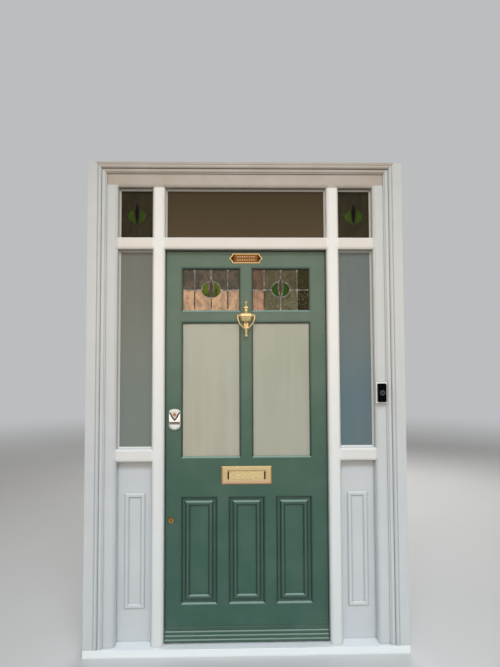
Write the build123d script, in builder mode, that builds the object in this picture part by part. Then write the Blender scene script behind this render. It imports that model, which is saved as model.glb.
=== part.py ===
from build123d import *
import os
from math import atan2, cos, radians, sin

# A panelled front door, hung in a painted timber frame with side lights and top lights.
# Millimetres. X runs across the front, Y runs into the house and Z runs up.
# The origin is at the middle of the sill's underside, in the plane of the frame's outer face.

# Overall sizes of the leaf and of the frame around it
LEAF_WIDTH = 914.0
LEAF_HEIGHT = 2134.0
LEAF_THICKNESS = 44.0
STOP_DEPTH = 45.0
STOP_LAP = 9.0
EDGE_GAP = 3.0
FOOT_GAP = 4.0
MULLION_WIDTH = 67.0
SIDE_LIGHT_WIDTH = 191.0
POST_WIDTH = 106.0
POST_FACE = 62.0
TRANSOM_HEIGHT = 69.0
TOP_LIGHT_HEIGHT = 278.0
HEAD_HEIGHT = 108.0
HEAD_FACE = 76.0
APRON_HEIGHT = 966.0
SIDE_RAIL_HEIGHT = 70.0

# Sill
SILL_HEIGHT = 46.0
SILL_NOSE = 20.0
SILL_NOSE_HEIGHT = 36.0
SILL_NOSE_ROUND = 4.0
SILL_SLOPE_END = 50.0

# Faces of the leaf's members, measured between the outer lines of their mouldings
STILE_FACE = 91.0
TOP_RAIL_FACE = 98.0
GLAZING_RAIL_FACE = 47.0
LOCK_RAIL_FACE = 200.0
BOTTOM_RAIL_FACE = 182.0
MUNTIN_FACE = 50.0
PANEL_MUNTIN_FACE = 51.0
PANEL_OPENING_HEIGHT = 587.0
LOWER_LIGHT_HEIGHT = 762.0

# Stuck moulding around each opening
MOULD_WIDTH = 14.0
MOULD_DEPTH = 12.0
MOULD_QUIRK = 1.5

# Glazing
GLASS_THICKNESS = 4.0
GLASS_SET_BACK = 16.0
GLASS_REBATE = 10.0
PUTTY_WIDTH = 8.0
PUTTY_DEPTH = 10.0
PUTTY_EDGE = 1.0
BEAD_DEPTH = 18.0
BEAD_CHAMFER = 5.0
CAME_WIDTH = 6.0
CAME_WEB = 1.6
CAME_FLANGE = 0.6
SIDE_CAME_OFFSET = 93.0
PETAL_WIDTH = 106.0
PETAL_HEIGHT = 88.0
BUD_WIDTH = 26.0
BUD_RISE = 22.0
CORNER_BUD_RISE = 36.0
UPPER_MOTIF_LIFT = 4.0
CORNER_MOTIF_LIFT = -11.0

# Sunk panels
PANEL_THICKNESS = 12.0
PANEL_SET_BACK = 15.0
PANEL_GROOVE = 10.0
PANEL_MARGIN = 14.0
RIDGE_WIDTH = 27.0
RIDGE_HEIGHT = 11.0
RIDGE_CREST = 3.0
RIDGE_SLOPE = 12.0
RIDGE_FOOT = 1.5
APRON_SET_BACK = 50.0
APRON_THICKNESS = 15.0
APRON_GROOVE = 8.0
APRON_FRAME_MARGIN = 40.0
APRON_FRAME_DROP = 175.0
APRON_FRAME_WIDTH = 25.0
APRON_FRAME_HEIGHT = 9.0
APRON_FRAME_CREST = 5.0
APRON_FRAME_SLOPE = 7.0

# Tenons
TENON_THICKNESS = 14.0
TENON_LENGTH = 60.0
STUB_TENON = 20.0
TENON_SHOULDER = 26.0

# Weatherboard
WEATHERBOARD_HEIGHT = 71.0
WEATHERBOARD_DEPTH = 25.0
WEATHERBOARD_TOP = 4.0
WEATHERBOARD_END_GAP = 4.0
WEATHERBOARD_FOOT_GAP = 1.0
WEATHERBOARD_TOE = 3.0
REED_TOP = 19.0
REED_PITCH = 18.0
REED_ROUND = 6.0
REED_COUNT = 3

# Architraves around the frame
ARCHITRAVE_WIDTH = 100.0
HEAD_ARCHITRAVE_WIDTH = 62.0
ARCHITRAVE_EDGE = 7.0
ARCHITRAVE_STEP = 13.0
ARCHITRAVE_BAND = 16.0
ARCHITRAVE_BEAD = 19.0
ARCHITRAVE_BEAD_FALL = 1.0
STEP_START = 4.0
STEP_END = 15.0
QUIRK_START = 22.0
QUIRK_END = 27.0
BEAD_END = 47.0

# Hinges
HINGE_HEIGHT = 102.0
HINGE_FLAP = 3.0
HINGE_FLAP_DEPTH = 32.0
HINGE_SPACE = 0.4
HINGE_PIN_RADIUS = 2.5
HINGE_KNUCKLE_RADIUS = 5.5
HINGE_KNUCKLES = 5
HINGE_END_GAP = 0.3
HINGE_PROUD = 6.5
HINGE_TOP_MARGIN = 150.0
HINGE_FOOT_MARGIN = 225.0
HINGE_TIP_RADIUS = 4.5
HINGE_TIP_HEIGHT = 3.0
RUN_GAP = 0.05

# Letter plate
LETTER_SIDE_BORDER = 36.0
LETTER_TOP_BORDER = 26.0
LETTER_TOP_MARGIN = 39.0
LETTER_THICKNESS = 6.0
LETTER_EDGE = 3.0
LETTER_BEVEL = 7.0
LETTER_MOUTH_BEVEL = 4.0
LETTER_MOUTH_FALL = 2.0
APERTURE_WIDTH = 206.0
APERTURE_HEIGHT = 46.0
FLAP_END_GAP = 7.5
FLAP_GAP = 1.5
FLAP_THICKNESS = 3.0
FLAP_SET_BACK = 2.0
FLAP_ROD_RADIUS = 2.2
FLAP_ROD_DEPTH = 2.0
FLAP_ROD_DROP = 3.0
FLAP_ROD_GAP = 0.1
FLAP_ROD_END_GAP = 0.5
LUG_WIDTH = 6.0
LUG_HEIGHT = 11.0
LUG_DEPTH = 6.0
SLOT_MARGIN = 9.0
BOLT_MARGIN = 20.0
BOLT_RADIUS = 3.0
BOLT_CLEARANCE = 0.3
NUT_RADIUS = 7.0
NUT_THICKNESS = 5.0
NUT_ROUND = 3.0

# Knocker
KNOCKER_PIVOT_LIFT = 30.0
KNOCKER_PIVOT_STAND = 24.0
KNOCKER_BODY_RADIUS = 40.0
KNOCKER_EAR_LENGTH = 2.5
KNOCKER_EAR_RADIUS = 6.0
KNOCKER_EYE_GAP = 0.5
KNOCKER_PIN_RADIUS = 3.0
KNOCKER_PIN_GAP = 0.1
KNOCKER_ARM_WIDTH = 7.0
KNOCKER_ARM_DEPTH = 6.0
KNOCKER_EYE_RADIUS = 7.0
KNOCKER_ARM_STRAIGHT = 8.0
KNOCKER_BOSS_GAP = 5.0
KNOCKER_BOSS_RADIUS = 19.5
KNOCKER_ARM_SINK = 5.0
KNOCKER_TONGUE_DROP = 12.0
KNOCKER_STUD_RADIUS = 8.0
KNOCKER_PLATE_THICKNESS = 3.0
KNOCKER_PLATE_WIDTH = 22.0
STRIKE_GAP = 0.3

# Turned outlines of the knocker's body and of its ring's boss, from the foot up.
# Each step is (radius, height), or (middle radius, middle height, radius, height) for an arc,
# with heights from the pivot for the body and from the boss's middle for the ring.
KNOCKER_OUTLINE = (
    (5, -62),
    (7, -59),
    (6.4, -50),
    (7, -43),
    (12, -40),
    (14, -38),
    (29, -29, 35, -10),
    (37, -8),
    (39, -6),
    (KNOCKER_BODY_RADIUS, 0, 39, 8),
    (33, 12),
    (22, 17),
    (11, 21),
    (9.5, 28),
    (9.5, 35),
    (13, 38),
    (14.5, 42),
    (14.5, 49),
    (9, 53),
    (5.5, 58),
    (7, 62),
    (4.5, 67),
    (8, 75.5, 4, 83),
    (2, 85),
    (0.5, 88),
)
BOSS_OUTLINE = (
    (5, -53),
    (9, -42, 5.5, -35),
    (4.5, -32),
    (7.5, -26, 5, -18),
    (9, -16),
    (9, -14),
    (13, -11),
    (KNOCKER_BOSS_RADIUS, -4),
    (KNOCKER_BOSS_RADIUS, 3),
    (10, 7),
    (4, 9),
)

# Plaque
PLAQUE_TOP_MARGIN = 24.0
PLAQUE_WIDTH = 187.0
PLAQUE_BODY_WIDTH = 153.0
PLAQUE_HEIGHT = 54.0
PLAQUE_THICKNESS = 3.0
PLAQUE_RIM = 4.0
PLAQUE_SINK = 1.2
PLAQUE_NOTCH = 9.0
PLAQUE_STUD_RADIUS = 3.2
PLAQUE_STUD_PITCH = 13.0
PLAQUE_STUDS = 8
PLAQUE_ROW_OFFSET = 9.0
PLAQUE_STUD_TAPER = 30.0

# Cylinder pull and night latch
PULL_OFFSET = 61.0
PULL_WIDTH = 62.0
PULL_TOP_LIFT = 276.0
PULL_HEIGHT = 115.0
PULL_THICKNESS = 6.0
PULL_ARCH = 11.0
PULL_SHIELD_TOP_WIDTH = 46.0
PULL_SHIELD_SINK = 2.5
PULL_SHIELD_WAIST = 3.0
PULL_SHIELD_GROOVE = 3.0
PULL_EDGE_ROUND = 1.5
PULL_SHIELD_TOP = 24.0
PULL_SHIELD_TIP = 64.0
PULL_LIP_HEIGHT = 30.0
PULL_LIP_DEPTH = 24.0
PULL_LIP_WALL = 4.0
PULL_CYLINDER_DROP = 30.0
CYLINDER_RADIUS = 14.5
CYLINDER_PROUD = 12.0
CYLINDER_GAP = 0.5
PLUG_RADIUS = 6.5
PLUG_GAP = 0.1
PLUG_PROUD = 1.0
KEYWAY_WIDTH = 1.6
KEYWAY_HEIGHT = 8.0
KEYWAY_DEPTH = 5.0
TAIL_RADIUS = 3.0
TAIL_LENGTH = 5.0
LATCH_CASE_WIDTH = 90.0
LATCH_CASE_HEIGHT = 92.0
LATCH_CASE_DEPTH = 28.0
LATCH_CASE_ROUND = 4.0
LATCH_EDGE_INSET = 2.0
LATCH_BOLT_HEIGHT = 38.0
LATCH_BOLT_DEPTH = 14.0
LATCH_BOLT_LENGTH = 44.0
LATCH_BOLT_LINE = 12.0
LATCH_BOLT_NOSE = 3.0
LATCH_BOLT_BEVEL = 9.0
BOLT_SLIDE_GAP = 0.3
KEEP_WIDTH = 38.0
KEEP_HEIGHT = 76.0
KEEP_DEPTH = 24.0
KEEP_WALL = 5.0
KEEP_GAP = 6.5
KEEP_BOLT_GAP = 1.0
KEEP_ROUND = 3.0
KNOB_RADIUS = 16.0
KNOB_DEPTH = 14.0
KNOB_NECK_RADIUS = 7.0
KNOB_STAND = 6.0
KNOB_GRIP_WIDTH = 14.0
KNOB_GRIP_INSET = 2.0
KNOB_SPINDLE_RADIUS = 8.0
KNOB_SPINDLE_LENGTH = 8.0
KNOB_SPINDLE_GAP = 0.1
KNOB_PLATE = 4.0
KNOB_ROUND = 2.0

# Mortice deadlock
DEADLOCK_DROP = 129.5
ROSE_OFFSET = 43.2
ROSE_RADIUS = 18.0
ROSE_THICKNESS = 4.0
ROSE_RIM = 2.0
LOCK_CASE_WIDTH = 66.0
LOCK_CASE_HEIGHT = 100.0
LOCK_CASE_THICKNESS = 16.0
LOCK_CASE_GAP = 0.2
LOCK_CASE_END_GAP = 1.0
FOREND_THICKNESS = 3.0
FOREND_WIDTH = 22.0
FOREND_HEIGHT = 124.0
DEADBOLT_HEIGHT = 30.0
DEADBOLT_THICKNESS = 12.0
DEADBOLT_LENGTH = 45.0
DEADBOLT_TRAVEL = 20.0
STRIKE_THICKNESS = 2.0
STRIKE_WIDTH = 26.0
STRIKE_HEIGHT = 110.0
STRIKE_CLEARANCE = 1.0
STRIKE_END_CLEARANCE = 4.0

# Doorbell
BELL_CENTRE_HEIGHT = 1383.0
BELL_WIDTH = 46.0
BELL_HEIGHT = 100.0
BELL_DEPTH = 22.0
BELL_ROUND = 5.0
BELL_CORNER = 6.0
PACKER_GAP = 1.0
PACKER_WIDTH = 60.0
PACKER_HEIGHT = 116.0
PACKER_THICKNESS = 16.0
PACKER_CORNER = 3.0
BUTTON_RADIUS = 13.5
BUTTON_GAP = 0.3
BUTTON_DEPTH = 6.0
BUTTON_PROUD = 1.0
BUTTON_TRAVEL = 1.5
BUTTON_ROUND = 0.6
BUTTON_DISH_RADIUS = 9.0
BUTTON_DISH_DEPTH = 0.8
EYE_RADIUS = 5.0
EYE_LIFT = 27.0
EYE_PROUD = 0.8
EYE_TAPER = 45.0

# Post fixings: holes through the posts for frame anchors into the wall
FIXING_RADIUS = 5.0
FIXING_COUNT = 4
FIXING_SPACING = 600.0
FIXING_LOWEST = 300.0
FIXING_INSET = 9.0

# Places worked out from the sizes
SILL_TOP = SILL_HEIGHT
LEAF_FOOT = SILL_TOP + FOOT_GAP
LEAF_TOP = LEAF_FOOT + LEAF_HEIGHT
LEAF_EDGE = LEAF_WIDTH / 2
LEAF_FACE = STOP_DEPTH
LEAF_BACK = STOP_DEPTH + LEAF_THICKNESS
FRAME_BACK = LEAF_BACK
REBATE = STOP_LAP + EDGE_GAP
DOOR_SIGHT = LEAF_EDGE - STOP_LAP
DOOR_HEAD_SIGHT = LEAF_TOP - STOP_LAP
MULLION_SIGHT = DOOR_SIGHT + MULLION_WIDTH
POST_SIGHT = MULLION_SIGHT + SIDE_LIGHT_WIDTH
POST_OUTER = POST_SIGHT + POST_WIDTH
TRANSOM_TOP = DOOR_HEAD_SIGHT + TRANSOM_HEIGHT
HEAD_SIGHT = TRANSOM_TOP + TOP_LIGHT_HEIGHT
HEAD_TOP = HEAD_SIGHT + HEAD_HEIGHT
APRON_TOP = SILL_TOP + APRON_HEIGHT
SIDE_RAIL_TOP = APRON_TOP + SIDE_RAIL_HEIGHT
ARCHITRAVE_INNER = POST_SIGHT + POST_FACE
ARCHITRAVE_OUTER = ARCHITRAVE_INNER + ARCHITRAVE_WIDTH
ARCHITRAVE_UNDER = HEAD_SIGHT + HEAD_FACE
ARCHITRAVE_TOP = ARCHITRAVE_UNDER + HEAD_ARCHITRAVE_WIDTH

STILE_LINE = LEAF_EDGE - STILE_FACE
STILE_SIGHT = STILE_LINE - MOULD_WIDTH
BOTTOM_RAIL_SIGHT = LEAF_FOOT + BOTTOM_RAIL_FACE + MOULD_WIDTH
LOCK_RAIL_FOOT = LEAF_FOOT + BOTTOM_RAIL_FACE + PANEL_OPENING_HEIGHT
LOCK_RAIL_HEAD = LOCK_RAIL_FOOT + LOCK_RAIL_FACE
GLAZING_RAIL_FOOT = LOCK_RAIL_HEAD + LOWER_LIGHT_HEIGHT
GLAZING_RAIL_HEAD = GLAZING_RAIL_FOOT + GLAZING_RAIL_FACE
TOP_RAIL_FOOT = LEAF_TOP - TOP_RAIL_FACE
MUNTIN_SIGHT = MUNTIN_FACE / 2 + MOULD_WIDTH
PANEL_FACE_WIDTH = (2 * STILE_LINE - 2 * PANEL_MUNTIN_FACE) / 3
PANEL_SIGHT_WIDTH = PANEL_FACE_WIDTH - 2 * MOULD_WIDTH
PANEL_PITCH = PANEL_FACE_WIDTH + PANEL_MUNTIN_FACE
GLASS_FACE = LEAF_FACE + GLASS_SET_BACK
GLASS_BACK = GLASS_FACE + GLASS_THICKNESS
PANEL_FACE = LEAF_FACE + PANEL_SET_BACK
FRAME_GLASS_BACK = STOP_DEPTH + GLASS_THICKNESS
HINGE_AXIS_X = LEAF_EDGE + EDGE_GAP / 2
HINGE_AXIS_Y = LEAF_BACK + HINGE_PROUD
HINGE_CENTRES = (
    LEAF_FOOT + HINGE_FOOT_MARGIN + HINGE_HEIGHT / 2,
    (LEAF_FOOT + HINGE_FOOT_MARGIN + LEAF_TOP - HINGE_TOP_MARGIN) / 2,
    LEAF_TOP - HINGE_TOP_MARGIN - HINGE_HEIGHT / 2,
)
LETTER_WIDTH = APERTURE_WIDTH + 2 * LETTER_SIDE_BORDER
LETTER_HEIGHT = APERTURE_HEIGHT + 2 * LETTER_TOP_BORDER
LETTER_CENTRE_HEIGHT = LOCK_RAIL_HEAD - LETTER_TOP_MARGIN - LETTER_HEIGHT / 2
BOLT_OFFSET = APERTURE_WIDTH / 2 + BOLT_MARGIN
KNOCKER_PIVOT_HEIGHT = GLAZING_RAIL_FOOT + KNOCKER_PIVOT_LIFT
KNOCKER_ARM_OFFSET = KNOCKER_BODY_RADIUS + KNOCKER_EAR_LENGTH + KNOCKER_EYE_GAP + KNOCKER_ARM_WIDTH / 2
KNOCKER_BOSS_DROP = KNOCKER_BOSS_GAP - KNOCKER_OUTLINE[0][1]
PLAQUE_CENTRE_HEIGHT = LEAF_TOP - PLAQUE_TOP_MARGIN - PLAQUE_HEIGHT / 2
PULL_CENTRE = -LEAF_EDGE + PULL_OFFSET
PULL_TOP = LOCK_RAIL_HEAD + PULL_TOP_LIFT
CYLINDER_HEIGHT = PULL_TOP - PULL_CYLINDER_DROP
ROSE_CENTRE = -LEAF_EDGE + ROSE_OFFSET
DEADLOCK_HEIGHT = LOCK_RAIL_FOOT - DEADLOCK_DROP
BELL_CENTRE = ARCHITRAVE_INNER - PACKER_GAP - PACKER_WIDTH / 2
FIXING_DEPTH = FRAME_BACK - FIXING_INSET

# How far a cut runs past the faces that it opens
OVERCUT = 1.0

# Openings, each as its lowest and highest corner in X and Z at the sight lines
BELOW_SILL = -50.0
SIDES = (-1, 1)


def rectangle_on(side, inner, outer, low, high):
    """Corners of a rectangle on one side of the middle: left is -1 and right is 1"""
    ends = sorted((side * inner, side * outer))
    return (ends[0], low), (ends[1], high)


DOORWAY = ((-DOOR_SIGHT, BELOW_SILL), (DOOR_SIGHT, DOOR_HEAD_SIGHT))
FANLIGHT = ((-DOOR_SIGHT, TRANSOM_TOP), (DOOR_SIGHT, HEAD_SIGHT))
CORNER_LIGHTS = [rectangle_on(side, MULLION_SIGHT, POST_SIGHT, TRANSOM_TOP, HEAD_SIGHT) for side in SIDES]
SIDELIGHTS = [rectangle_on(side, MULLION_SIGHT, POST_SIGHT, SIDE_RAIL_TOP, DOOR_HEAD_SIGHT) for side in SIDES]
APRONS = [rectangle_on(side, MULLION_SIGHT, POST_SIGHT, BELOW_SILL, APRON_TOP) for side in SIDES]
LOWER_LIGHT_ENDS = (LOCK_RAIL_HEAD + MOULD_WIDTH, GLAZING_RAIL_FOOT - MOULD_WIDTH)
UPPER_LIGHT_ENDS = (GLAZING_RAIL_HEAD + MOULD_WIDTH, TOP_RAIL_FOOT - MOULD_WIDTH)
PANEL_ENDS = (BOTTOM_RAIL_SIGHT, LOCK_RAIL_FOOT - MOULD_WIDTH)
LOWER_LIGHTS = [rectangle_on(side, MUNTIN_SIGHT, STILE_SIGHT, *LOWER_LIGHT_ENDS) for side in SIDES]
UPPER_LIGHTS = [rectangle_on(side, MUNTIN_SIGHT, STILE_SIGHT, *UPPER_LIGHT_ENDS) for side in SIDES]
PANELS = [
    (
        (step * PANEL_PITCH - PANEL_SIGHT_WIDTH / 2, PANEL_ENDS[0]),
        (step * PANEL_PITCH + PANEL_SIGHT_WIDTH / 2, PANEL_ENDS[1]),
    )
    for step in (-1, 0, 1)
]


def grown(opening, amount):
    """The same rectangle, moved out by an amount on every side"""
    (x_low, z_low), (x_high, z_high) = opening
    return (x_low - amount, z_low - amount), (x_high + amount, z_high + amount)


def slab(x_ends, y_ends, z_ends, mode=Mode.ADD):
    """A box that runs between two values on each axis, in the open part"""
    with Locations((sum(x_ends) / 2, sum(y_ends) / 2, sum(z_ends) / 2)):
        Box(x_ends[1] - x_ends[0], y_ends[1] - y_ends[0], z_ends[1] - z_ends[0], mode=mode)


def plate(opening, y_ends, mode=Mode.ADD):
    """A box with a rectangle's outline, between two depths"""
    (x_low, z_low), (x_high, z_high) = opening
    slab((x_low, x_high), y_ends, (z_low, z_high), mode)


def rod_y(x, z, radius, y_ends, mode=Mode.ADD):
    """A cylinder that runs into the house, in the open part"""
    with Locations(Plane((x, y_ends[0], z), x_dir=(1, 0, 0), z_dir=(0, 1, 0))):
        Cylinder(radius, y_ends[1] - y_ends[0], align=(Align.CENTER, Align.CENTER, Align.MIN), mode=mode)


def rod_x(y, z, radius, x_ends, mode=Mode.ADD):
    """A cylinder that runs across the front, in the open part"""
    with Locations(Plane((x_ends[0], y, z), x_dir=(0, 1, 0), z_dir=(1, 0, 0))):
        Cylinder(radius, x_ends[1] - x_ends[0], align=(Align.CENTER, Align.CENTER, Align.MIN), mode=mode)


def rod_z(x, y, radius, z_ends, mode=Mode.ADD):
    """An upright cylinder, in the open part"""
    with Locations((x, y, z_ends[0])):
        Cylinder(radius, z_ends[1] - z_ends[0], align=(Align.CENTER, Align.CENTER, Align.MIN), mode=mode)


def facade(depth):
    """The upright plane at a depth, looking out of the house"""
    return Plane.XZ.offset(-depth)


def mitred_form(opening, steps):
    """A solid that narrows with depth by the same profile on all four sides.

    Each step is (inset, depth), or (middle inset, middle depth, inset, depth) for an arc.
    """
    (x_low, z_low), (x_high, z_high) = opening
    width = x_high - x_low
    height = z_high - z_low
    upright = Plane((x_low + width / 2, 0, z_low), x_dir=(1, 0, 0), z_dir=(0, 0, 1))
    level = Plane((x_high, 0, z_low + height / 2), x_dir=(0, 0, 1), z_dir=(-1, 0, 0))
    spread = max(max(-step[-2], 0) for step in steps)
    upright = upright.offset(-spread)
    level = level.offset(-spread)
    passes = ((upright, width / 2, height, Mode.ADD), (level, height / 2, width, Mode.INTERSECT))
    with BuildPart() as form:
        for plane, half, run, mode in passes:
            with BuildSketch(plane):
                with BuildLine():
                    start = (steps[0][0] - half, steps[0][1])
                    for step in steps[1:]:
                        end = (step[-2] - half, step[-1])
                        if len(step) == 4:
                            ThreePointArc(start, (step[0] - half, step[1]), end)
                        else:
                            Line(start, end)
                        start = end
                    mirror(about=Plane.YZ)
                    Line(start, (-start[0], start[1]))
                    first = (steps[0][0] - half, steps[0][1])
                    Line(first, (-first[0], first[1]))
                make_face()
            extrude(amount=run + 2 * spread, mode=mode)
    return form.part


def quarter_middle(start, end, centre):
    """The point at 45 degrees on a quarter ellipse between two points about its centre"""
    share = sin(radians(45))
    return tuple(c + share * (s - c) + share * (e - c) for s, e, c in zip(start, end, centre))


def ovolo_steps(face, inward):
    """The space in front of a stuck ovolo on a face, for a side that is cut away"""
    quirk = (-MOULD_WIDTH, face + inward * MOULD_QUIRK)
    sight = (0.0, face + inward * MOULD_DEPTH)
    middle = quarter_middle(quirk, sight, (-MOULD_WIDTH, sight[1]))
    return [(-MOULD_WIDTH, face - inward * OVERCUT), quirk, (*middle, *sight)]


def ring(opening, outer_steps, inner_steps, depths):
    """A mitred frame of moulding: an outer form with an inner form cut out of it"""
    outer = mitred_form(opening, outer_steps)
    inner = mitred_form(opening, inner_steps)
    with BuildPart() as moulding:
        add(outer)
        plate(grown(opening, MOULD_WIDTH), depths, mode=Mode.INTERSECT)
        add(inner, mode=Mode.SUBTRACT)
    return moulding.part


def bead_ring(opening, rebate, front, back):
    """Timber glazing bead behind the glass, chamfered on its inner corner"""
    outer = [(-rebate, front), (-rebate, back)]
    inner = [
        (0, front - OVERCUT),
        (0, back - BEAD_CHAMFER),
        (-BEAD_CHAMFER, back),
        (-BEAD_CHAMFER, back + OVERCUT),
    ]
    return ring(opening, outer, inner, (front, back))


def putty_ring(opening):
    """Sloping putty line in front of the frame's glass"""
    outer = [(0, STOP_DEPTH - PUTTY_DEPTH), (0, STOP_DEPTH)]
    inner = [
        (0, STOP_DEPTH - PUTTY_DEPTH - OVERCUT),
        (PUTTY_EDGE, STOP_DEPTH - PUTTY_DEPTH),
        (PUTTY_WIDTH, STOP_DEPTH - PUTTY_EDGE),
        (PUTTY_WIDTH, STOP_DEPTH + OVERCUT),
    ]
    return ring(opening, outer, inner, (STOP_DEPTH - PUTTY_DEPTH, STOP_DEPTH))


def ridge_ring(opening, width, height, crest, slope, back):
    """Planted moulding with a round-shouldered crest, on a panel's face"""
    top = back - height
    foot = back - RIDGE_FOOT
    rise_middle = quarter_middle((0, foot), (slope, top), (slope, foot))
    fall_start = (slope + crest, top)
    fall_end = (width, foot)
    fall_middle = quarter_middle(fall_start, fall_end, (slope + crest, foot))
    outer = [(0, back), (0, foot), (*rise_middle, slope, top)]
    inner = [(slope + crest, top - OVERCUT), fall_start, (*fall_middle, *fall_end), (width, back + OVERCUT)]
    return ring(opening, outer, inner, (top, back))


# Forms that shape the frame around its openings
frame_openings = [DOORWAY, FANLIGHT, *CORNER_LIGHTS, *SIDELIGHTS, *APRONS]
frame_forms = [mitred_form(opening, ovolo_steps(0, 1)) for opening in frame_openings]
frame_lights = [FANLIGHT, *CORNER_LIGHTS, *SIDELIGHTS]


apron_depths = (APRON_SET_BACK, APRON_SET_BACK + APRON_THICKNESS)


def cut_frame_openings():
    """Cut the mouldings, rebates and panel grooves that reach the open frame member"""
    for form in frame_forms:
        add(form, mode=Mode.SUBTRACT)
    for opening in (DOORWAY, *frame_lights):
        plate(grown(opening, REBATE), (STOP_DEPTH, FRAME_BACK + OVERCUT), mode=Mode.SUBTRACT)
    for opening in APRONS:
        plate(grown(opening, APRON_GROOVE), apron_depths, mode=Mode.SUBTRACT)


def mirrored(part):
    """The same piece on the other side of the middle"""
    return mirror(part, about=Plane.YZ, mode=Mode.PRIVATE)


# Sill
with BuildPart() as sill:
    with BuildSketch(Plane.YZ.offset(-ARCHITRAVE_OUTER)):
        with BuildLine():
            Polyline(
                (-SILL_NOSE, 0),
                (FRAME_BACK, 0),
                (FRAME_BACK, SILL_TOP),
                (SILL_SLOPE_END, SILL_TOP),
                (-SILL_NOSE + SILL_NOSE_ROUND, SILL_NOSE_HEIGHT + SILL_NOSE_ROUND),
            )
            nose_middle = SILL_NOSE_ROUND * (1 - cos(radians(45)))
            ThreePointArc(
                (-SILL_NOSE + SILL_NOSE_ROUND, SILL_NOSE_HEIGHT + SILL_NOSE_ROUND),
                (-SILL_NOSE + nose_middle, SILL_NOSE_HEIGHT + SILL_NOSE_ROUND - nose_middle),
                (-SILL_NOSE, SILL_NOSE_HEIGHT),
            )
            Line((-SILL_NOSE, SILL_NOSE_HEIGHT), (-SILL_NOSE, 0))
        make_face()
    extrude(amount=2 * ARCHITRAVE_OUTER)
    for apron in APRONS:
        groove = (apron[0][0] - APRON_GROOVE, apron[1][0] + APRON_GROOVE)
        slab(
            groove,
            apron_depths,
            (SILL_TOP - APRON_GROOVE, SILL_TOP + OVERCUT),
            mode=Mode.SUBTRACT,
        )

# Posts
with BuildPart() as right_post:
    slab((POST_SIGHT, POST_OUTER), (0, FRAME_BACK), (SILL_NOSE_HEIGHT, HEAD_SIGHT))
    slab((POST_SIGHT, POST_OUTER), (0, STOP_DEPTH), (HEAD_SIGHT, HEAD_SIGHT + MOULD_WIDTH))
    add(sill.part, mode=Mode.SUBTRACT)
    cut_frame_openings()
    fixing_middle = FIXING_LOWEST + FIXING_SPACING * (FIXING_COUNT - 1) / 2
    with BuildSketch(Plane.YZ.offset(POST_SIGHT - OVERCUT)):
        with Locations((FIXING_DEPTH, fixing_middle)):
            with GridLocations(1, FIXING_SPACING, 1, FIXING_COUNT):
                Circle(FIXING_RADIUS)
    extrude(amount=POST_WIDTH + 2, mode=Mode.SUBTRACT)

with BuildPart() as left_post:
    add(mirrored(right_post.part))

# Head
with BuildPart() as head:
    slab((-POST_OUTER, POST_OUTER), (0, FRAME_BACK), (HEAD_SIGHT, HEAD_TOP))
    add(right_post.part, mode=Mode.SUBTRACT)
    add(left_post.part, mode=Mode.SUBTRACT)
    cut_frame_openings()

# Mullions
strike_low = DEADLOCK_HEIGHT - STRIKE_HEIGHT / 2
strike_high = DEADLOCK_HEIGHT + STRIKE_HEIGHT / 2
bolt_middle = LEAF_FACE + LEAF_THICKNESS / 2
mullion_rebate_face = DOOR_SIGHT + REBATE
pocket_reach = DEADBOLT_TRAVEL - EDGE_GAP + STRIKE_END_CLEARANCE
pocket_half_depth = DEADBOLT_THICKNESS / 2 + STRIKE_CLEARANCE
pocket_half_height = DEADBOLT_HEIGHT / 2 + STRIKE_CLEARANCE
hinge_recess = HINGE_FLAP - (EDGE_GAP - HINGE_SPACE) / 2
hinge_flap_ends = (HINGE_AXIS_X + HINGE_SPACE / 2, HINGE_AXIS_X + HINGE_SPACE / 2 + HINGE_FLAP)
hinge_depths = (LEAF_BACK - HINGE_FLAP_DEPTH, LEAF_BACK)

with BuildPart() as plain_mullion:
    slab((DOOR_SIGHT, MULLION_SIGHT), (0, FRAME_BACK), (SILL_NOSE_HEIGHT, HEAD_SIGHT))
    add(sill.part, mode=Mode.SUBTRACT)
    cut_frame_openings()

with BuildPart() as right_mullion:
    add(plain_mullion.part)
    for centre in HINGE_CENTRES:
        slab(
            (mullion_rebate_face - OVERCUT, mullion_rebate_face + hinge_recess),
            (hinge_depths[0], FRAME_BACK + OVERCUT),
            (centre - HINGE_HEIGHT / 2, centre + HINGE_HEIGHT / 2),
            mode=Mode.SUBTRACT,
        )

with BuildPart() as left_mullion:
    add(mirrored(plain_mullion.part))
    slab(
        (-mullion_rebate_face - STRIKE_THICKNESS, -mullion_rebate_face + OVERCUT),
        (bolt_middle - STRIKE_WIDTH / 2, bolt_middle + STRIKE_WIDTH / 2),
        (strike_low, strike_high),
        mode=Mode.SUBTRACT,
    )
    slab(
        (-mullion_rebate_face - pocket_reach, -mullion_rebate_face + OVERCUT),
        (bolt_middle - pocket_half_depth, bolt_middle + pocket_half_depth),
        (DEADLOCK_HEIGHT - pocket_half_height, DEADLOCK_HEIGHT + pocket_half_height),
        mode=Mode.SUBTRACT,
    )

# Transoms over the door and over the side lights
with BuildPart() as door_transom:
    slab((-DOOR_SIGHT, DOOR_SIGHT), (0, FRAME_BACK), (DOOR_HEAD_SIGHT, TRANSOM_TOP))
    cut_frame_openings()

with BuildPart() as side_transoms:
    for side in SIDES:
        ends = sorted((side * MULLION_SIGHT, side * POST_SIGHT))
        slab(ends, (0, FRAME_BACK), (DOOR_HEAD_SIGHT, TRANSOM_TOP))
    cut_frame_openings()

# Rails between the side lights and their apron panels
with BuildPart() as side_rails:
    for side in SIDES:
        ends = sorted((side * MULLION_SIGHT, side * POST_SIGHT))
        slab(ends, (0, FRAME_BACK), (APRON_TOP, SIDE_RAIL_TOP))
    cut_frame_openings()

# Apron panels under the side lights, and the moulding planted on each
apron_frame_low = SILL_TOP + APRON_FRAME_DROP
apron_frame_high = APRON_TOP - APRON_FRAME_DROP

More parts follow.
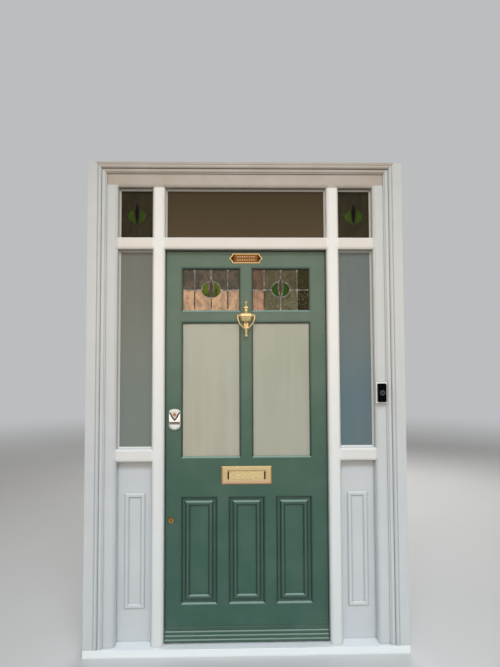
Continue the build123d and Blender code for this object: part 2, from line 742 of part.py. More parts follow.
with BuildPart() as apron_panels:
    for apron in APRONS:
        slab(
            (apron[0][0] - APRON_GROOVE, apron[1][0] + APRON_GROOVE),
            apron_depths,
            (SILL_TOP - APRON_GROOVE, APRON_TOP + APRON_GROOVE),
        )

apron_outlines = [
    (
        (apron[0][0] + APRON_FRAME_MARGIN, apron_frame_low),
        (apron[1][0] - APRON_FRAME_MARGIN, apron_frame_high),
    )
    for apron in APRONS
]
apron_rings = [
    ridge_ring(
        outline,
        APRON_FRAME_WIDTH,
        APRON_FRAME_HEIGHT,
        APRON_FRAME_CREST,
        APRON_FRAME_SLOPE,
        APRON_SET_BACK,
    )
    for outline in apron_outlines
]

with BuildPart() as apron_mouldings:
    add(apron_rings)

# Architraves around the frame
def architrave_profile(width):
    """One architrave section: distance from the inner edge, then depth in front of the frame"""
    band_shoulder = BEAD_END + ARCHITRAVE_BEAD - ARCHITRAVE_BAND
    with BuildLine() as outline:
        Polyline((0, 0), (0, -ARCHITRAVE_EDGE), (STEP_START, -ARCHITRAVE_EDGE))
        ThreePointArc(
            (STEP_START, -ARCHITRAVE_EDGE),
            quarter_middle(
                (STEP_START, -ARCHITRAVE_EDGE),
                (STEP_END, -ARCHITRAVE_STEP),
                (STEP_END, -ARCHITRAVE_EDGE),
            ),
            (STEP_END, -ARCHITRAVE_STEP),
        )
        Polyline(
            (STEP_END, -ARCHITRAVE_STEP),
            (QUIRK_START, -ARCHITRAVE_STEP),
            (QUIRK_START, -ARCHITRAVE_EDGE),
            (QUIRK_END, -ARCHITRAVE_EDGE),
            (QUIRK_END, -ARCHITRAVE_STEP),
        )
        ThreePointArc(
            (QUIRK_END, -ARCHITRAVE_STEP),
            ((QUIRK_END + BEAD_END) / 2, -ARCHITRAVE_BEAD),
            (BEAD_END, -ARCHITRAVE_STEP - ARCHITRAVE_BEAD_FALL),
        )
        Polyline(
            (BEAD_END, -ARCHITRAVE_STEP - ARCHITRAVE_BEAD_FALL),
            (band_shoulder, -ARCHITRAVE_BAND),
            (width, -ARCHITRAVE_BAND),
            (width, 0),
            (0, 0),
        )
    return outline.line


side_profile = architrave_profile(ARCHITRAVE_WIDTH)
head_profile = architrave_profile(HEAD_ARCHITRAVE_WIDTH)
mitre_start = (ARCHITRAVE_INNER - OVERCUT, ARCHITRAVE_UNDER - OVERCUT)
mitre_end = (ARCHITRAVE_INNER + HEAD_ARCHITRAVE_WIDTH + OVERCUT, ARCHITRAVE_TOP + OVERCUT)
over_mitre = (ARCHITRAVE_INNER - OVERCUT, ARCHITRAVE_TOP + OVERCUT)
under_mitre = [
    (ARCHITRAVE_OUTER + OVERCUT, ARCHITRAVE_TOP + OVERCUT),
    (ARCHITRAVE_OUTER + OVERCUT, ARCHITRAVE_UNDER - OVERCUT),
]

with BuildPart() as right_architrave:
    with BuildSketch(Plane.XY.offset(SILL_NOSE_HEIGHT)):
        with BuildLine():
            with Locations((ARCHITRAVE_INNER, 0)):
                add(side_profile)
        make_face()
    extrude(amount=ARCHITRAVE_TOP - SILL_NOSE_HEIGHT)
    add(sill.part, mode=Mode.SUBTRACT)
    with BuildSketch(facade(0)):
        Polygon(mitre_start, mitre_end, over_mitre, align=None)
    extrude(amount=ARCHITRAVE_BEAD + OVERCUT, mode=Mode.SUBTRACT)

with BuildPart() as side_architraves:
    add(right_architrave.part)
    add(mirrored(right_architrave.part))

with BuildPart() as half_head_architrave:
    with BuildSketch(Plane((0, 0, ARCHITRAVE_UNDER), x_dir=(0, 0, 1), z_dir=(-1, 0, 0))):
        with BuildLine():
            add(head_profile)
        make_face()
    extrude(amount=-ARCHITRAVE_OUTER)
    with BuildSketch(facade(0)):
        Polygon(mitre_start, mitre_end, *under_mitre, align=None)
    extrude(amount=ARCHITRAVE_BEAD + OVERCUT, mode=Mode.SUBTRACT)

with BuildPart() as head_architrave:
    add(half_head_architrave.part)
    add(mirrored(half_head_architrave.part))

# Plain glass in the frame
with BuildPart() as sidelight_panes:
    for opening in SIDELIGHTS:
        plate(grown(opening, GLASS_REBATE), (STOP_DEPTH, FRAME_GLASS_BACK))

with BuildPart() as fanlight_pane:
    plate(grown(FANLIGHT, GLASS_REBATE), (STOP_DEPTH, FRAME_GLASS_BACK))

frame_beads = [putty_ring(opening) for opening in frame_lights]
frame_beads += [
    bead_ring(opening, REBATE, FRAME_GLASS_BACK, FRAME_GLASS_BACK + BEAD_DEPTH) for opening in frame_lights
]

with BuildPart() as frame_glazing_beads:
    add(frame_beads)


# Leaded lights: outlines are drawn about the middle of the light's motif
def bud_outline(rise):
    """Pointed bud that stands from the foot of the petals to above them"""
    foot = -PETAL_HEIGHT / 2
    tip = PETAL_HEIGHT / 2 + rise
    with BuildSketch() as bud:
        with BuildLine():
            ThreePointArc((0, foot), (BUD_WIDTH / 2, rise / 2), (0, tip))
            ThreePointArc((0, tip), (-BUD_WIDTH / 2, rise / 2), (0, foot))
        make_face()
    return bud.sketch


def leading(opening, lift, rise, side_cames, width):
    """Outline of all the lead in one light, at the width of its flanges or of its webs"""
    (x_low, z_low), (x_high, z_high) = grown(opening, GLASS_REBATE)
    across = x_high - x_low
    up = z_high - z_low
    bud = bud_outline(rise)
    bud_lead = offset(bud, amount=width / 2, mode=Mode.PRIVATE)
    bud_hole = offset(bud, amount=-width / 2, mode=Mode.PRIVATE)
    with BuildSketch() as lead:
        Rectangle(across, up)
        Rectangle(across - 2 * CAME_WIDTH, up - 2 * CAME_WIDTH, mode=Mode.SUBTRACT)
        Rectangle(across, width)
        Rectangle(width, up)
        for offset_x in side_cames:
            with Locations((offset_x, 0)):
                Rectangle(width, up)
        with Locations((0, lift)):
            Ellipse((PETAL_WIDTH + width) / 2, (PETAL_HEIGHT + width) / 2)
            Ellipse((PETAL_WIDTH - width) / 2, (PETAL_HEIGHT - width) / 2, mode=Mode.SUBTRACT)
        with Locations((0, lift)):
            add(bud_lead)
            add(bud_hole, mode=Mode.SUBTRACT)
    return lead.sketch


def light_plane(opening, depth):
    """Upright plane at the middle of a light, looking out of the house"""
    (x_low, z_low), (x_high, z_high) = opening
    return Plane(((x_low + x_high) / 2, depth, (z_low + z_high) / 2), x_dir=(1, 0, 0), z_dir=(0, -1, 0))


def leaded_light(opening, front, lift, rise, side_cames):
    """Clear glass, petals, bud and cames of one light, from its front face"""
    (x_low, z_low), (x_high, z_high) = grown(opening, GLASS_REBATE)
    flange_plane = light_plane(opening, front + GLASS_THICKNESS)
    glass_plane = light_plane(opening, front + GLASS_THICKNESS - CAME_FLANGE)
    glass_depth = GLASS_THICKNESS - 2 * CAME_FLANGE
    flange_lead = leading(opening, lift, rise, side_cames, CAME_WIDTH)
    web_lead = leading(opening, lift, rise, side_cames, CAME_WEB)
    bud_face = bud_outline(rise)
    with BuildPart() as flanges:
        with BuildSketch(flange_plane):
            add(flange_lead)
        extrude(amount=GLASS_THICKNESS)
        with BuildSketch(glass_plane):
            Rectangle(x_high - x_low + OVERCUT, z_high - z_low + OVERCUT)
        extrude(amount=glass_depth, mode=Mode.SUBTRACT)
    with BuildPart() as webs:
        with BuildSketch(glass_plane):
            add(web_lead)
        extrude(amount=glass_depth)
    with BuildPart() as bud:
        with BuildSketch(glass_plane):
            with Locations((0, lift)):
                add(bud_face)
        extrude(amount=glass_depth)
    with BuildPart() as petals:
        with BuildSketch(glass_plane):
            with Locations((0, lift)):
                Ellipse(PETAL_WIDTH / 2, PETAL_HEIGHT / 2)
        extrude(amount=glass_depth)
        add(bud.part, mode=Mode.SUBTRACT)
    with BuildPart() as clear:
        with BuildSketch(glass_plane):
            Rectangle(x_high - x_low, z_high - z_low)
        extrude(amount=glass_depth)
        add(bud.part, mode=Mode.SUBTRACT)
        add(petals.part, mode=Mode.SUBTRACT)
    cut = [glass.part - webs.part for glass in (clear, petals, bud)]
    return [*cut, flanges.part + webs.part]


def gathered(lights, index):
    """One kind of piece from several lights, as a group of separate solids"""
    return [light[index] for light in lights]


upper_lights = [
    leaded_light(opening, GLASS_FACE, UPPER_MOTIF_LIFT, BUD_RISE, (-SIDE_CAME_OFFSET, SIDE_CAME_OFFSET))
    for opening in UPPER_LIGHTS
]
corner_lights = [
    leaded_light(opening, STOP_DEPTH, CORNER_MOTIF_LIFT, CORNER_BUD_RISE, ())
    for opening in CORNER_LIGHTS
]

with BuildPart() as upper_light_glass:
    add(gathered(upper_lights, 0))

with BuildPart() as upper_light_petals:
    add(gathered(upper_lights, 1))

with BuildPart() as upper_light_buds:
    add(gathered(upper_lights, 2))

with BuildPart() as upper_light_cames:
    add(gathered(upper_lights, 3))

with BuildPart() as corner_light_glass:
    add(gathered(corner_lights, 0))

with BuildPart() as corner_light_petals:
    add(gathered(corner_lights, 1))

with BuildPart() as corner_light_buds:
    add(gathered(corner_lights, 2))

with BuildPart() as corner_light_cames:
    add(gathered(corner_lights, 3))

# Leaf: forms that shape its members around the lights and the panels
leaf_lights = [*LOWER_LIGHTS, *UPPER_LIGHTS]
leaf_forms = [mitred_form(opening, ovolo_steps(LEAF_FACE, 1)) for opening in (*leaf_lights, *PANELS)]
leaf_forms += [mitred_form(opening, ovolo_steps(LEAF_BACK, -1)) for opening in PANELS]


def cut_leaf_openings():
    """Cut the mouldings, rebates and panel grooves that reach the open leaf member"""
    for form in leaf_forms:
        add(form, mode=Mode.SUBTRACT)
    for opening in leaf_lights:
        plate(grown(opening, GLASS_REBATE), (GLASS_FACE, LEAF_BACK + OVERCUT), mode=Mode.SUBTRACT)
    for opening in PANELS:
        plate(grown(opening, PANEL_GROOVE), (PANEL_FACE, PANEL_FACE + PANEL_THICKNESS), mode=Mode.SUBTRACT)


def rail_tenons(low, high):
    """Tenons at both ends of a rail of the leaf"""
    for side in SIDES:
        ends = sorted((side * (STILE_SIGHT - OVERCUT), side * (STILE_SIGHT + TENON_LENGTH)))
        slab(ends, (PANEL_FACE, PANEL_FACE + TENON_THICKNESS), (low + TENON_SHOULDER, high - TENON_SHOULDER))


def muntin_tenons(centre, half, low, high):
    """Short tenons at both ends of a muntin of the leaf"""
    for end, inward in ((low, 1), (high, -1)):
        heights = sorted((end + inward * OVERCUT, end - inward * STUB_TENON))
        slab(
            (centre - half + TENON_SHOULDER, centre + half - TENON_SHOULDER),
            (PANEL_FACE, PANEL_FACE + TENON_THICKNESS),
            heights,
        )


leaf_depths = (LEAF_FACE, LEAF_BACK)
rail_ends = (-STILE_SIGHT, STILE_SIGHT)

with BuildPart() as glazing_muntins:
    for low, high in (LOWER_LIGHT_ENDS, UPPER_LIGHT_ENDS):
        slab((-MUNTIN_SIGHT, MUNTIN_SIGHT), leaf_depths, (low, high))
        muntin_tenons(0, MUNTIN_SIGHT, low, high)
    cut_leaf_openings()

with BuildPart() as panel_muntins:
    for side in SIDES:
        centre = side * PANEL_PITCH / 2
        half = PANEL_MUNTIN_FACE / 2 + MOULD_WIDTH
        slab((centre - half, centre + half), leaf_depths, PANEL_ENDS)
        muntin_tenons(centre, half, *PANEL_ENDS)
    cut_leaf_openings()

with BuildPart() as top_rail:
    slab(rail_ends, leaf_depths, (UPPER_LIGHT_ENDS[1], LEAF_TOP))
    rail_tenons(UPPER_LIGHT_ENDS[1], LEAF_TOP)
    cut_leaf_openings()
    add(glazing_muntins.part, mode=Mode.SUBTRACT)

with BuildPart() as glazing_rail:
    slab(rail_ends, leaf_depths, (LOWER_LIGHT_ENDS[1], UPPER_LIGHT_ENDS[0]))
    rail_tenons(LOWER_LIGHT_ENDS[1], UPPER_LIGHT_ENDS[0])
    cut_leaf_openings()
    add(glazing_muntins.part, mode=Mode.SUBTRACT)

with BuildPart() as lock_rail:
    slab(rail_ends, leaf_depths, (PANEL_ENDS[1], LOWER_LIGHT_ENDS[0]))
    rail_tenons(PANEL_ENDS[1], LOWER_LIGHT_ENDS[0])
    cut_leaf_openings()
    add(glazing_muntins.part, mode=Mode.SUBTRACT)
    add(panel_muntins.part, mode=Mode.SUBTRACT)
    slot_half = APERTURE_WIDTH / 2 + SLOT_MARGIN
    slot_rise = APERTURE_HEIGHT / 2 + SLOT_MARGIN
    slab(
        (-slot_half, slot_half),
        (LEAF_FACE - OVERCUT, LEAF_BACK + OVERCUT),
        (LETTER_CENTRE_HEIGHT - slot_rise, LETTER_CENTRE_HEIGHT + slot_rise),
        mode=Mode.SUBTRACT,
    )
    for side in SIDES:
        rod_y(
            side * BOLT_OFFSET,
            LETTER_CENTRE_HEIGHT,
            BOLT_RADIUS + BOLT_CLEARANCE,
            (LEAF_FACE - OVERCUT, LEAF_BACK + OVERCUT),
            mode=Mode.SUBTRACT,
        )

with BuildPart() as bottom_rail:
    slab(rail_ends, leaf_depths, (LEAF_FOOT, PANEL_ENDS[0]))
    rail_tenons(LEAF_FOOT, PANEL_ENDS[0])
    cut_leaf_openings()
    add(panel_muntins.part, mode=Mode.SUBTRACT)

leaf_rails = [top_rail.part, glazing_rail.part, lock_rail.part, bottom_rail.part]

with BuildPart() as hinge_stile:
    slab((STILE_SIGHT, LEAF_EDGE), leaf_depths, (LEAF_FOOT, LEAF_TOP))
    cut_leaf_openings()
    for rail in leaf_rails:
        add(rail, mode=Mode.SUBTRACT)
    for centre in HINGE_CENTRES:
        slab(
            (LEAF_EDGE - hinge_recess, LEAF_EDGE + OVERCUT),
            (hinge_depths[0], LEAF_BACK + OVERCUT),
            (centre - HINGE_HEIGHT / 2, centre + HINGE_HEIGHT / 2),
            mode=Mode.SUBTRACT,
        )

LOCK_CENTRE_DEPTH = LEAF_FACE + LEAF_THICKNESS / 2
lock_case_front = LOCK_CENTRE_DEPTH - LOCK_CASE_THICKNESS / 2
lock_case_ends = (-LEAF_EDGE + FOREND_THICKNESS, -LEAF_EDGE + FOREND_THICKNESS + LOCK_CASE_WIDTH)

with BuildPart() as lock_stile:
    slab((-LEAF_EDGE, -STILE_SIGHT), leaf_depths, (LEAF_FOOT, LEAF_TOP))
    cut_leaf_openings()
    for rail in leaf_rails:
        add(rail, mode=Mode.SUBTRACT)
    rod_y(
        PULL_CENTRE,
        CYLINDER_HEIGHT,
        CYLINDER_RADIUS + CYLINDER_GAP,
        (LEAF_FACE - OVERCUT, LEAF_BACK + OVERCUT),
        mode=Mode.SUBTRACT,
    )
    rod_y(
        ROSE_CENTRE,
        DEADLOCK_HEIGHT,
        PLUG_RADIUS + CYLINDER_GAP,
        (LEAF_FACE - OVERCUT, LOCK_CENTRE_DEPTH),
        mode=Mode.SUBTRACT,
    )
    slab(
        (-LEAF_EDGE - OVERCUT, lock_case_ends[1] + LOCK_CASE_GAP),
        (lock_case_front - LOCK_CASE_GAP, lock_case_front + LOCK_CASE_THICKNESS + LOCK_CASE_GAP),
        (
            DEADLOCK_HEIGHT - LOCK_CASE_HEIGHT / 2 - LOCK_CASE_END_GAP,
            DEADLOCK_HEIGHT + LOCK_CASE_HEIGHT / 2 + LOCK_CASE_END_GAP,
        ),
        mode=Mode.SUBTRACT,
    )
    slab(
        (-LEAF_EDGE - OVERCUT, -LEAF_EDGE + FOREND_THICKNESS),
        (LOCK_CENTRE_DEPTH - FOREND_WIDTH / 2, LOCK_CENTRE_DEPTH + FOREND_WIDTH / 2),
        (DEADLOCK_HEIGHT - FOREND_HEIGHT / 2, DEADLOCK_HEIGHT + FOREND_HEIGHT / 2),
        mode=Mode.SUBTRACT,
    )

# Sunk panels, the moulding planted on them, the weatherboard and the lower glass
with BuildPart() as door_panels:
    for opening in PANELS:
        plate(grown(opening, PANEL_GROOVE), (PANEL_FACE, PANEL_FACE + PANEL_THICKNESS))

panel_rings = [
    ridge_ring(grown(opening, -PANEL_MARGIN), RIDGE_WIDTH, RIDGE_HEIGHT, RIDGE_CREST, RIDGE_SLOPE, PANEL_FACE)
    for opening in PANELS
]

with BuildPart() as panel_mouldings:
    add(panel_rings)

with BuildPart() as weatherboard:
    reed_depth = WEATHERBOARD_DEPTH - WEATHERBOARD_TOP
    reed_step = reed_depth / REED_COUNT
    board_foot = LEAF_FOOT + WEATHERBOARD_FOOT_GAP
    board_top = board_foot + WEATHERBOARD_HEIGHT
    board_half = DOOR_SIGHT - WEATHERBOARD_END_GAP
    with BuildSketch(Plane.YZ.offset(-board_half)):
        with BuildLine():
            brow = (LEAF_FACE - WEATHERBOARD_TOP, board_top - REED_TOP)
            Polyline((LEAF_FACE, board_foot), (LEAF_FACE, board_top), (brow[0], board_top), brow)
            for reed in range(REED_COUNT):
                swell = (brow[0] - reed_step, brow[1] - REED_ROUND)
                heel = (swell[0], max(brow[1] - REED_PITCH, board_foot + WEATHERBOARD_TOE))
                ThreePointArc(brow, quarter_middle(brow, swell, (brow[0], swell[1])), swell)
                Line(swell, heel)
                brow = heel
            Polyline(brow, (brow[0] + WEATHERBOARD_TOE, board_foot), (LEAF_FACE, board_foot))
        make_face()
    extrude(amount=2 * board_half)

with BuildPart() as lower_panes:
    for opening in LOWER_LIGHTS:
        plate(grown(opening, GLASS_REBATE), (GLASS_FACE, GLASS_BACK))

door_beads = [
    bead_ring(opening, GLASS_REBATE, GLASS_BACK, GLASS_BACK + BEAD_DEPTH) for opening in leaf_lights
]

with BuildPart() as door_glazing_beads:
    add(door_beads)

# Butt hinges: the frame's flaps have the odd knuckles and the leaf's flaps have the even ones
knuckle_pitch = HINGE_HEIGHT / HINGE_KNUCKLES


def hinge_flaps(ends, first):
    """One flap of each hinge, with every second knuckle from the first one"""
    with BuildPart() as flaps:
        for centre in HINGE_CENTRES:
            foot = centre - HINGE_HEIGHT / 2
            slab(ends, hinge_depths, (foot, foot + HINGE_HEIGHT))
            for knuckle in range(first, HINGE_KNUCKLES, 2):
                heights = (
                    foot + knuckle * knuckle_pitch + HINGE_END_GAP / 2,
                    foot + (knuckle + 1) * knuckle_pitch - HINGE_END_GAP / 2,
                )
                slab(ends, (LEAF_BACK - OVERCUT, HINGE_AXIS_Y), heights)
                rod_z(HINGE_AXIS_X, HINGE_AXIS_Y, HINGE_KNUCKLE_RADIUS, heights)
            rod_z(
                HINGE_AXIS_X,
                HINGE_AXIS_Y,
                HINGE_PIN_RADIUS + RUN_GAP,
                (foot - OVERCUT, foot + HINGE_HEIGHT + OVERCUT),
                mode=Mode.SUBTRACT,
            )
    return flaps.part


leaf_flap_ends = (HINGE_AXIS_X - HINGE_SPACE / 2 - HINGE_FLAP, HINGE_AXIS_X - HINGE_SPACE / 2)

flaps_on_frame = hinge_flaps(hinge_flap_ends, 0)
flaps_on_leaf = hinge_flaps(leaf_flap_ends, 1)

with BuildPart() as frame_hinge_flaps:
    add(flaps_on_frame)

with BuildPart() as door_hinge_flaps:
    add(flaps_on_leaf)

with BuildPart() as hinge_pins:
    for centre in HINGE_CENTRES:
        foot = centre - HINGE_HEIGHT / 2
        rod_z(HINGE_AXIS_X, HINGE_AXIS_Y, HINGE_PIN_RADIUS, (foot, foot + HINGE_HEIGHT))
        for tip in (foot - HINGE_TIP_HEIGHT, foot + HINGE_HEIGHT):
            rod_z(HINGE_AXIS_X, HINGE_AXIS_Y, HINGE_TIP_RADIUS, (tip, tip + HINGE_TIP_HEIGHT))

# Letter plate with its flap
letter_face = LEAF_FACE - LETTER_THICKNESS
rod_height = LETTER_CENTRE_HEIGHT + APERTURE_HEIGHT / 2 - FLAP_ROD_DROP
rod_depth = LEAF_FACE + FLAP_ROD_DEPTH
lug_inner = APERTURE_WIDTH / 2
letter_outline = (
    (-LETTER_WIDTH / 2, LETTER_CENTRE_HEIGHT - LETTER_HEIGHT / 2),
    (LETTER_WIDTH / 2, LETTER_CENTRE_HEIGHT + LETTER_HEIGHT / 2),
)
aperture_outline = (
    (-APERTURE_WIDTH / 2, LETTER_CENTRE_HEIGHT - APERTURE_HEIGHT / 2),
    (APERTURE_WIDTH / 2, LETTER_CENTRE_HEIGHT + APERTURE_HEIGHT / 2),
)
letter_border = mitred_form(
    letter_outline,
    [
        (0, LEAF_FACE),
        (0, LEAF_FACE - LETTER_EDGE),
        (LETTER_BEVEL, letter_face),
    ],
)
letter_mouth = mitred_form(
    aperture_outline,
    [
        (-LETTER_MOUTH_BEVEL, letter_face - OVERCUT),
        (-LETTER_MOUTH_BEVEL, letter_face),
        (0, letter_face + LETTER_MOUTH_FALL),
        (0, LEAF_FACE + OVERCUT),
    ],
)

with BuildPart() as letter_plate:
    add(letter_border)
    add(letter_mouth, mode=Mode.SUBTRACT)
    for side in SIDES:
        lug_ends = sorted((side * lug_inner, side * (lug_inner + LUG_WIDTH)))
        slab(
            lug_ends,
            (LEAF_FACE, LEAF_FACE + LUG_DEPTH),
            (rod_height - LUG_HEIGHT / 2, rod_height + LUG_HEIGHT / 2),
        )
    rod_x(
        rod_depth,
        rod_height,
        FLAP_ROD_RADIUS + FLAP_ROD_GAP,
        (-lug_inner - LUG_WIDTH - OVERCUT, lug_inner + LUG_WIDTH + OVERCUT),
        mode=Mode.SUBTRACT,
    )

with BuildPart() as letter_flap:
    flap_half = APERTURE_WIDTH / 2 - FLAP_END_GAP
    flap_face = letter_face + FLAP_SET_BACK
    flap_back = flap_face + FLAP_THICKNESS
    flap_heights = (
        LETTER_CENTRE_HEIGHT - APERTURE_HEIGHT / 2 + FLAP_GAP,
        LETTER_CENTRE_HEIGHT + APERTURE_HEIGHT / 2 - FLAP_GAP,
    )
    slab((-flap_half, flap_half), (flap_face, flap_back), flap_heights)
    slab((-flap_half, flap_half), (flap_back, rod_depth), (rod_height - FLAP_ROD_RADIUS, flap_heights[1]))
    rod_reach = lug_inner + LUG_WIDTH - FLAP_ROD_END_GAP
    rod_x(rod_depth, rod_height, FLAP_ROD_RADIUS, (-rod_reach, rod_reach))

with BuildPart() as letter_plate_bolts:
    for side in SIDES:
        rod_y(side * BOLT_OFFSET, LETTER_CENTRE_HEIGHT, BOLT_RADIUS, (LEAF_FACE, LEAF_BACK + NUT_THICKNESS))
        rod_y(side * BOLT_OFFSET, LETTER_CENTRE_HEIGHT, NUT_RADIUS, (LEAF_BACK, LEAF_BACK + NUT_THICKNESS))
    fillet(faces().sort_by(Axis.Y)[-2:].edges(), radius=NUT_ROUND)

# Knocker: a turned body on the leaf and a ring that swings from its sides
pivot_depth = LEAF_FACE - KNOCKER_PIVOT_STAND
eye_inner = KNOCKER_ARM_OFFSET - KNOCKER_ARM_WIDTH / 2
eye_outer = KNOCKER_ARM_OFFSET + KNOCKER_ARM_WIDTH / 2
boss_height = KNOCKER_PIVOT_HEIGHT - KNOCKER_BOSS_DROP
arm_top = KNOCKER_PIVOT_HEIGHT - KNOCKER_PIN_RADIUS - KNOCKER_PIN_GAP
bend_top = KNOCKER_PIVOT_HEIGHT - KNOCKER_ARM_STRAIGHT
bend_fall = bend_top - boss_height
bend_close = KNOCKER_ARM_OFFSET - KNOCKER_BOSS_RADIUS + KNOCKER_ARM_SINK
bend_radius = (bend_close**2 + bend_fall**2) / (2 * bend_close)
bend_half_turn = atan2(bend_fall, bend_radius - bend_close) / 2


def turned(axis_point, outline):
    """A solid turned about an upright axis, from (radius, height) steps measured from the axis point.

    Each step is (radius, height), or (middle radius, middle height, radius, height) for an arc.
    """
    with BuildPart() as form:
        with BuildSketch(Plane(axis_point, x_dir=(1, 0, 0), z_dir=(0, -1, 0))):
            with BuildLine():
                start = (0, outline[0][-1])
                first = start
                for step in outline:
                    end = step[-2:]
                    if len(step) == 4:
                        ThreePointArc(start, step[:2], end)
                    elif end != start:
                        Line(start, end)
                    start = end
                Polyline(start, (0, start[1]), first)
            make_face()
        revolve(axis=Axis(axis_point, (0, 0, 1)))
    return form.part


knocker_turning = turned((0, LEAF_FACE, KNOCKER_PIVOT_HEIGHT), KNOCKER_OUTLINE)

with BuildPart() as knocker_body:
    add(knocker_turning)
    for side in SIDES:
        rod_x(
            pivot_depth,
            KNOCKER_PIVOT_HEIGHT,
            KNOCKER_EAR_RADIUS,
            sorted((0, side * (eye_inner - KNOCKER_EYE_GAP))),
        )
        rod_x(pivot_depth, KNOCKER_PIVOT_HEIGHT, KNOCKER_PIN_RADIUS, sorted((0, side * eye_outer)))
    slab(
        (-KNOCKER_PLATE_WIDTH / 2, KNOCKER_PLATE_WIDTH / 2),
        (LEAF_FACE - KNOCKER_PLATE_THICKNESS, LEAF_FACE),
        (boss_height - KNOCKER_TONGUE_DROP, KNOCKER_PIVOT_HEIGHT),
    )
    rod_y(0, boss_height, KNOCKER_STUD_RADIUS, (pivot_depth + KNOCKER_BOSS_RADIUS + STRIKE_GAP, LEAF_FACE))
    split(bisect_by=Plane.XZ.offset(-LEAF_FACE), keep=Keep.TOP)

ring_boss = turned((0, pivot_depth, boss_height), BOSS_OUTLINE)

with BuildPart() as knocker_ring:
    add(ring_boss)
    for side in SIDES:
        with BuildLine(facade(pivot_depth)):
            bend_start = (side * KNOCKER_ARM_OFFSET, bend_top)
            bend_middle = (
                side * (KNOCKER_ARM_OFFSET - bend_radius * (1 - cos(bend_half_turn))),
                bend_top - bend_radius * sin(bend_half_turn),
            )
            bend_end = (side * (KNOCKER_ARM_OFFSET - bend_close), boss_height)
            Line((side * KNOCKER_ARM_OFFSET, arm_top), bend_start)
            ThreePointArc(bend_start, bend_middle, bend_end)
        with BuildSketch(Plane((side * KNOCKER_ARM_OFFSET, pivot_depth, arm_top))):
            Ellipse(KNOCKER_ARM_WIDTH / 2, KNOCKER_ARM_DEPTH / 2)
        sweep()
        rod_x(
            pivot_depth,
            KNOCKER_PIVOT_HEIGHT,
            KNOCKER_EYE_RADIUS,
            sorted((side * eye_inner, side * eye_outer)),
        )
    rod_x(
        pivot_depth,
        KNOCKER_PIVOT_HEIGHT,
        KNOCKER_PIN_RADIUS + KNOCKER_PIN_GAP,
        (-eye_outer - OVERCUT, eye_outer + OVERCUT),
        mode=Mode.SUBTRACT,
    )

# Plaque over the lights, with two rows of plain studs
plaque_plane = Plane((0, LEAF_FACE, PLAQUE_CENTRE_HEIGHT), x_dir=(1, 0, 0), z_dir=(0, -1, 0))


plaque_half = PLAQUE_BODY_WIDTH / 2
plaque_rise = PLAQUE_HEIGHT / 2

with BuildSketch() as plaque_edge:
    with BuildLine():
        Polyline(
            (-plaque_half, -plaque_rise),
            (plaque_half, -plaque_rise),
            (plaque_half, -plaque_rise + PLAQUE_NOTCH),
            (PLAQUE_WIDTH / 2, 0),
            (plaque_half, plaque_rise - PLAQUE_NOTCH),
            (plaque_half, plaque_rise),
            (-plaque_half, plaque_rise),
            (-plaque_half, plaque_rise - PLAQUE_NOTCH),
            (-PLAQUE_WIDTH / 2, 0),
            (-plaque_half, -plaque_rise + PLAQUE_NOTCH),
            close=True,
        )
    make_face()

plaque_field = offset(plaque_edge.sketch, amount=-PLAQUE_RIM, kind=Kind.INTERSECTION)

with BuildPart() as plaque:
    with BuildSketch(plaque_plane):
        add(plaque_edge.sketch)
    extrude(amount=PLAQUE_THICKNESS)
    with BuildSketch(plaque_plane.offset(PLAQUE_THICKNESS - PLAQUE_SINK)):
        add(plaque_field)
    extrude(amount=PLAQUE_THICKNESS, mode=Mode.SUBTRACT)
    with BuildSketch(plaque_plane.offset(PLAQUE_THICKNESS - PLAQUE_SINK)):
        with GridLocations(PLAQUE_STUD_PITCH, 2 * PLAQUE_ROW_OFFSET, PLAQUE_STUDS, 2):
            Circle(PLAQUE_STUD_RADIUS)
    extrude(amount=PLAQUE_SINK, taper=PLAQUE_STUD_TAPER)

# Cylinder pull
pull_plane = Plane((PULL_CENTRE, LEAF_FACE, PULL_TOP), x_dir=(1, 0, 0), z_dir=(0, -1, 0))
pull_half = PULL_WIDTH / 2
shield_half = PULL_SHIELD_TOP_WIDTH / 2


with BuildSketch() as shield:
    with BuildLine():
        shield_left = (-shield_half, -PULL_SHIELD_TOP)
        shield_tip = (0, -PULL_SHIELD_TIP)
        shield_right = (shield_half, -PULL_SHIELD_TOP)
        shield_belly = -(PULL_SHIELD_TOP + PULL_SHIELD_TIP) / 2
        ThreePointArc(shield_left, (-shield_half + PULL_SHIELD_WAIST, shield_belly), shield_tip)
        ThreePointArc(shield_tip, (shield_half - PULL_SHIELD_WAIST, shield_belly), shield_right)
        ThreePointArc(shield_right, (0, -PULL_SHIELD_TOP + PULL_ARCH), shield_left)
    make_face()

shield_field = offset(shield.sketch, amount=-PULL_SHIELD_GROOVE)

